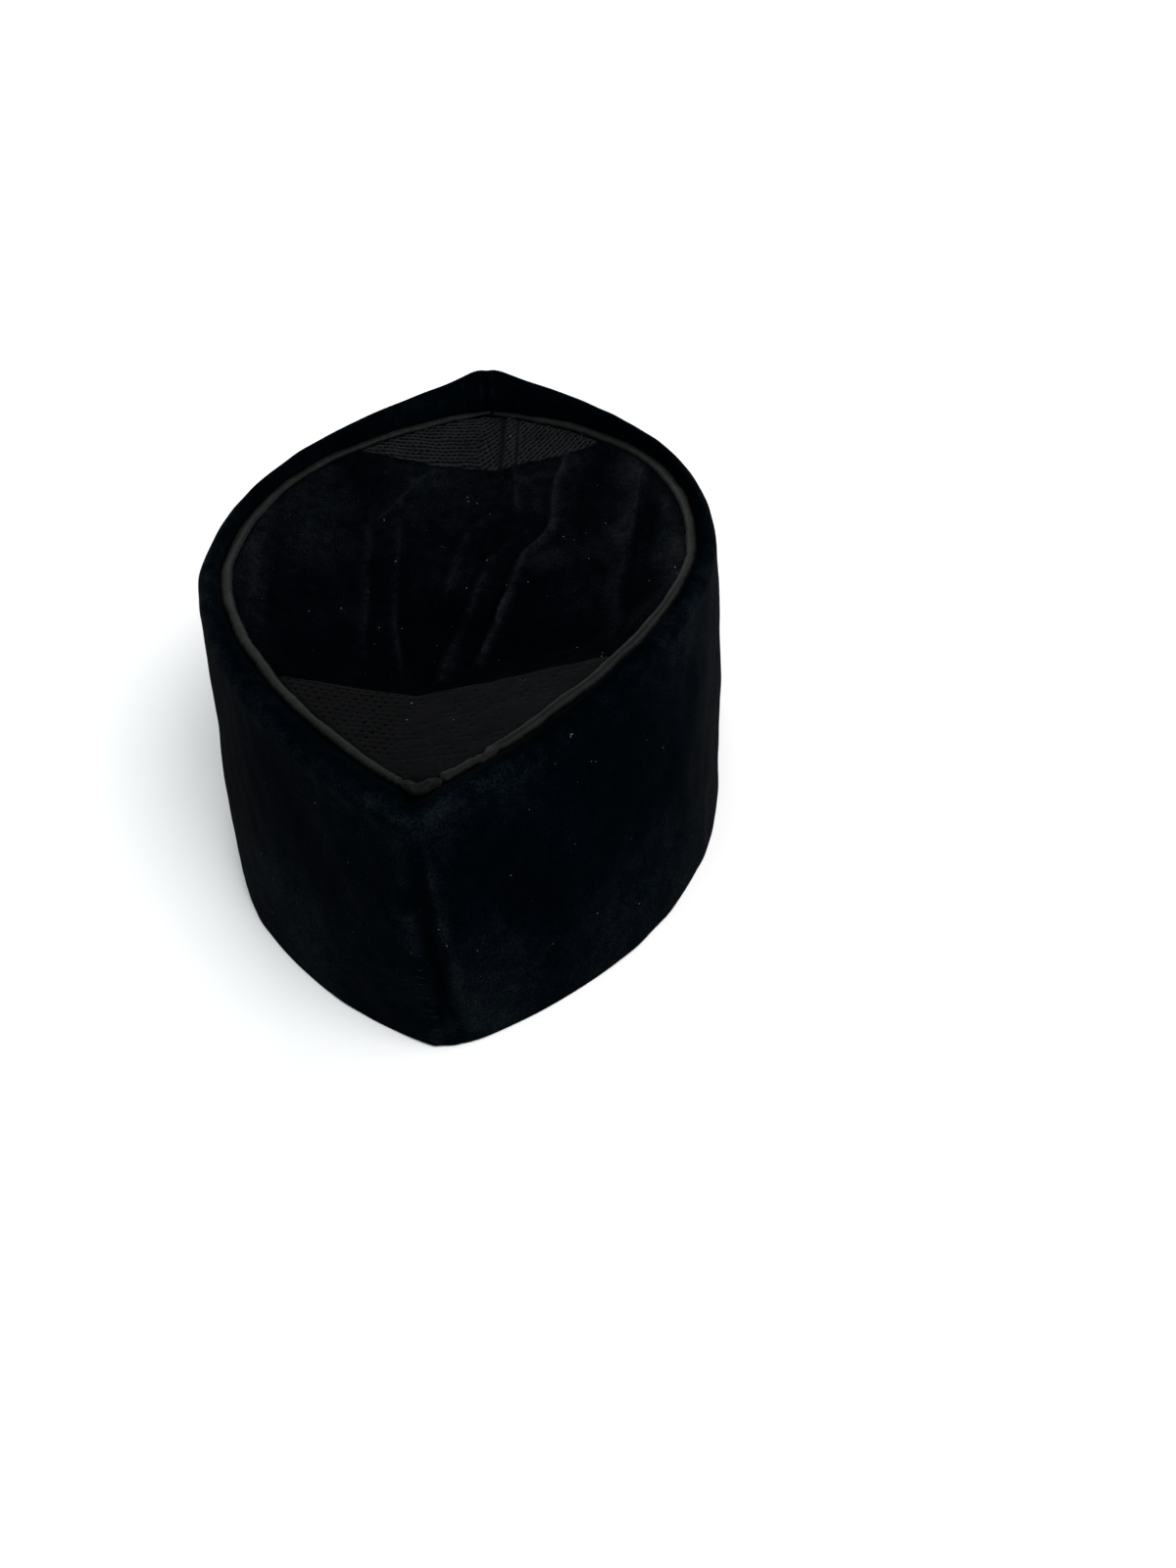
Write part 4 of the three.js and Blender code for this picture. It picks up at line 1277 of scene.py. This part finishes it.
right = CAMERA_FORWARD.cross(CAMERA_UP).normalized()
up = right.cross(CAMERA_FORWARD)
camera_data = bpy.data.cameras.new("camera")
camera_data.sensor_fit = "AUTO"
camera_data.sensor_width = SENSOR
camera_data.lens = FOCAL_PIXELS / IMAGE_HEIGHT * SENSOR
camera_data.clip_start = 0.01
camera_data.clip_end = 50
camera = placed("camera", camera_data)
axes = Matrix((right, up, -CAMERA_FORWARD)).transposed()
camera.matrix_world = Matrix.Translation(CAMERA_AT * MM) @ axes.to_4x4()
scene.camera = camera


# Stitches and lint


def hit(origin, direction, reach=1000.0):
    """The place and the normal where a line from a place meets the cap, or nothing."""
    place, normal, _, _ = surface.ray_cast(Vector(origin) * MM, Vector(direction).normalized(), reach * MM)
    return None if place is None else (np.array(place) / MM, np.array(normal))


def seen_at(px, py):
    """The same behind a pixel of the photograph."""
    ray = right * (px - IMAGE_WIDTH / 2) + up * (IMAGE_HEIGHT / 2 - py) + CAMERA_FORWARD * FOCAL_PIXELS
    return hit(CAMERA_AT, ray)


# A stitch's rise and radius, how far apart stitches lie, and where the lines that place them start and end.
STITCH_LIFT, STITCH_RADIUS = 0.08, 0.11
STITCH_HEIGHTS = np.arange(2.2, 62, 2.55)
STITCH_FROM, STITCH_REACH = 140, 40


def rung(z, from_x, to_x, at_back, tilt):
    """One short stitch that lies across an end seam."""
    path = []
    sign = 1 if at_back else -1
    for t in np.linspace(0, 1, 7):
        x = lerp(from_x, to_x, t)
        x = math.copysign(max(abs(x), 0.1), x)
        found = hit((x, sign * STITCH_FROM, z + tilt * (t - 0.5)), (0, -sign, 0), STITCH_REACH)
        if not found:
            return None
        path.append(found[0] + found[1] * (STITCH_LIFT * math.sin(math.pi * t) - 0.05))
    return tube(path, STITCH_RADIUS * np.array([0.6, 0.95, 1, 1, 1, 0.95, 0.6]), 7)


def seam_ladder(name, at_back):
    rng = np.random.default_rng(81 if at_back else 82)
    parts = []
    for z in STITCH_HEIGHTS:
        height = z + rng.normal(0, 0.35)
        wide = (lerp(3.4, 1.3, min(1, z / 45)) + rng.normal(0, 0.3)) * rng.uniform(0.55, 1.1)
        beside = float(groove_centre(z / 74)) + 3.3 + 1.7 * float(bell(z, 0, 6))
        start = beside + rng.uniform(-0.3, 0.8) if at_back else -0.5 * wide
        tilt, shown = rng.normal(0.3, 0.4), rng.random() < lerp(0.95, 0.35, min(1, z / 50))
        part = rung(height, start, start + max(0.8, wide), at_back, tilt) if shown else None
        if part:
            parts.append(part)
    points, faces = gather(parts)
    return make_piece(name, points, faces, [seam_thread])


ladders = [seam_ladder("seam_stitches_back", True), seam_ladder("seam_stitches_front", False)]


# Radii of the fine lint all over, of the plain bits, and of the plain bits on the wall, in mm.
FINE_LINT = 0.022
PLAIN_LINT = 0.05
WALL_LINT = 1.4 * FINE_LINT
# How many fine bits are thrown at the wall and dropped on the top, and from how far and how far on.
AT_WALL, WALL_FROM, WALL_REACH = 110, 200, 260
ON_TOP, TOP_FROM, TOP_REACH = 50, 120, 100
# Where the plainest bits of lint lie in the photograph: pixel, pixel, millimetres.
LINT = (
    (583, 749, 1.0), (582, 751, 0.8), (477, 508, 0.9), (478, 512, 0.8), (487, 514, 0.7), (500, 525, 0.6),
    (392, 531, 0.6), (404, 573, 0.8), (476, 600, 0.6), (517, 597, 0.7), (539, 594, 0.5), (601, 570, 0.5),
    (575, 548, 0.5), (618, 534, 0.5), (589, 661, 0.7), (614, 670, 0.6), (420, 718, 0.7), (415, 735, 0.5),
    (463, 735, 0.4), (566, 779, 0.35), (603, 777, 0.3), (676, 763, 0.5), (521, 893, 0.6), (540, 826, 0.35),
    (609, 932, 0.5), (564, 963, 0.4), (387, 641, 0.4), (410, 642, 0.4), (348, 621, 0.5), (315, 624, 0.4),
    (271, 799, 0.3), (322, 819, 0.5), (456, 965, 0.8), (448, 948, 0.6), (420, 972, 0.7), (691, 585, 0.5),
    (689, 579, 0.5), (497, 572, 0.4), (521, 445, 0.5), (594, 443, 0.5), (652, 922, 0.5), (706, 853, 0.5),
)


def fibre(place, normal, size, rng, radius=FINE_LINT):
    """One bit of lint: a short bent fibre that lies on the cloth."""
    normal = normal / np.linalg.norm(normal)
    direction = np.cross(normal, rng.normal(size=3))
    direction /= np.linalg.norm(direction)
    t = np.linspace(-0.5, 0.5, 6)[:, None]
    sideways = np.cross(normal, direction) * rng.normal(0, 0.35) * (t * t - 0.1)
    path = place + size * (direction * t + sideways) + normal * (0.12 + 0.048 * size * (1 - 4 * t * t))
    return tube(path, radius * (0.8 + 0.5 * rng.random()) * np.array([0.5, 1, 1.1, 1, 0.9, 0.5]), 5)


def lint():
    rng = np.random.default_rng(91)
    parts = []
    for px, py, size in LINT:
        found = seen_at(px, py)
        if found:
            parts.append(fibre(*found, size, rng, PLAIN_LINT if found[1][2] > 0.5 else WALL_LINT))
    for _ in range(AT_WALL):
        angle, height = rng.uniform(0, 2 * math.pi), rng.uniform(4, 70)
        across, along = math.cos(angle), math.sin(angle)
        found = hit((across * WALL_FROM, along * WALL_FROM, height), (-across, -along, 0), WALL_REACH)
        if found:
            parts.append(fibre(*found, rng.uniform(0.12, 0.34), rng))
    for _ in range(ON_TOP):
        x, y = rng.uniform(-60, 60), rng.uniform(-70, 60)
        found = hit((x, y, TOP_FROM), (0, 0, -1), TOP_REACH)
        if found:
            parts.append(fibre(*found, rng.uniform(0.15, 0.4), rng))
    points, faces = gather(parts)
    return make_piece("lint", points, faces, [lint_fibre])


lint_piece = lint()

# Each piece joins the root body and hides the CAD parts that it replaces

for piece, slot, nodes in (
    (band_left, "velvet_band", ["side_panel_left"]),
    (band_right, "velvet_band", ["side_panel_right"]),
    (crown_piece, "velvet_crown", ["crown_panel"]),
    (vent_front, "knitted_net", ["front_vent"]),
    (vent_back, "knitted_net", ["back_vent"]),
    (shade_sheet_front, "knitted_net", []),
    (shade_sheet_back, "knitted_net", []),
    (piping_left, "satin_piping", ["piping_left"]),
    (piping_right, "satin_piping", ["piping_right"]),
    (stub, "knitted_net", []),
    (ladders[0], None, []),
    (ladders[1], None, []),
    (lint_piece, None, []),
):
    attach(piece, "root")
    if nodes:
        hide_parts(*nodes)

# Floor and light

FLOOR_RADIUS = 3.0
FLOOR_SIDES = 48


def floor():
    graph = Graph("floor", 0.2)
    tone = graph.noise(graph.place((1, 1, 1)), 0.9, 2, 0.5)
    material = graph.finish(graph.shades(tone, (0.86, 0.86, 0.855), (0.9, 0.9, 0.895)), 0.75)
    mesh = bpy.data.meshes.new("floor")
    angles = [2 * math.pi * k / FLOOR_SIDES for k in range(FLOOR_SIDES)]
    rim = [(FLOOR_RADIUS * math.cos(angle), FLOOR_RADIUS * math.sin(angle), 0) for angle in angles]
    mesh.from_pydata(rim, [], [list(range(FLOOR_SIDES))])
    mesh.materials.append(material)
    placed("floor", mesh)


floor()

# Each light: its place and size in metres, its power in watts and its colour. They all face the cap.
LIT_PLACE = Vector((0, 0, 0.05))
LIGHTS = dict(
    key=((-0.7, 0.5, 1.5), 1.1, 22, (1.0, 1.0, 1.0)),
    fill=((1.3, 0.9, 0.9), 1.2, 4.5, (0.7, 0.97, 1.0)),
    side=((-1.6, -0.5, 0.5), 1.0, 13, (1.0, 0.89, 0.85)),
    rim=((0.3, -1.6, 0.9), 1.0, 7, (1.0, 1.0, 1.0)),
)

for name, (at, size, power, colour) in LIGHTS.items():
    light = bpy.data.lights.new(name, "AREA")
    light.shape = "DISK"
    light.size = size
    light.energy = power
    light.color = colour
    lamp = placed(name, light)
    lamp.location = at
    lamp.rotation_mode = "QUATERNION"
    lamp.rotation_quaternion = (LIT_PLACE - Vector(at)).to_track_quat("-Z", "Y")

world = bpy.data.worlds.new("world")
scene.world = world
world.use_nodes = True
background = world.node_tree.nodes["Background"]
background.inputs["Color"].default_value = (0.96, 0.97, 1.0, 1)
background.inputs["Strength"].default_value = 0.62
scene.view_settings.view_transform = "Standard"
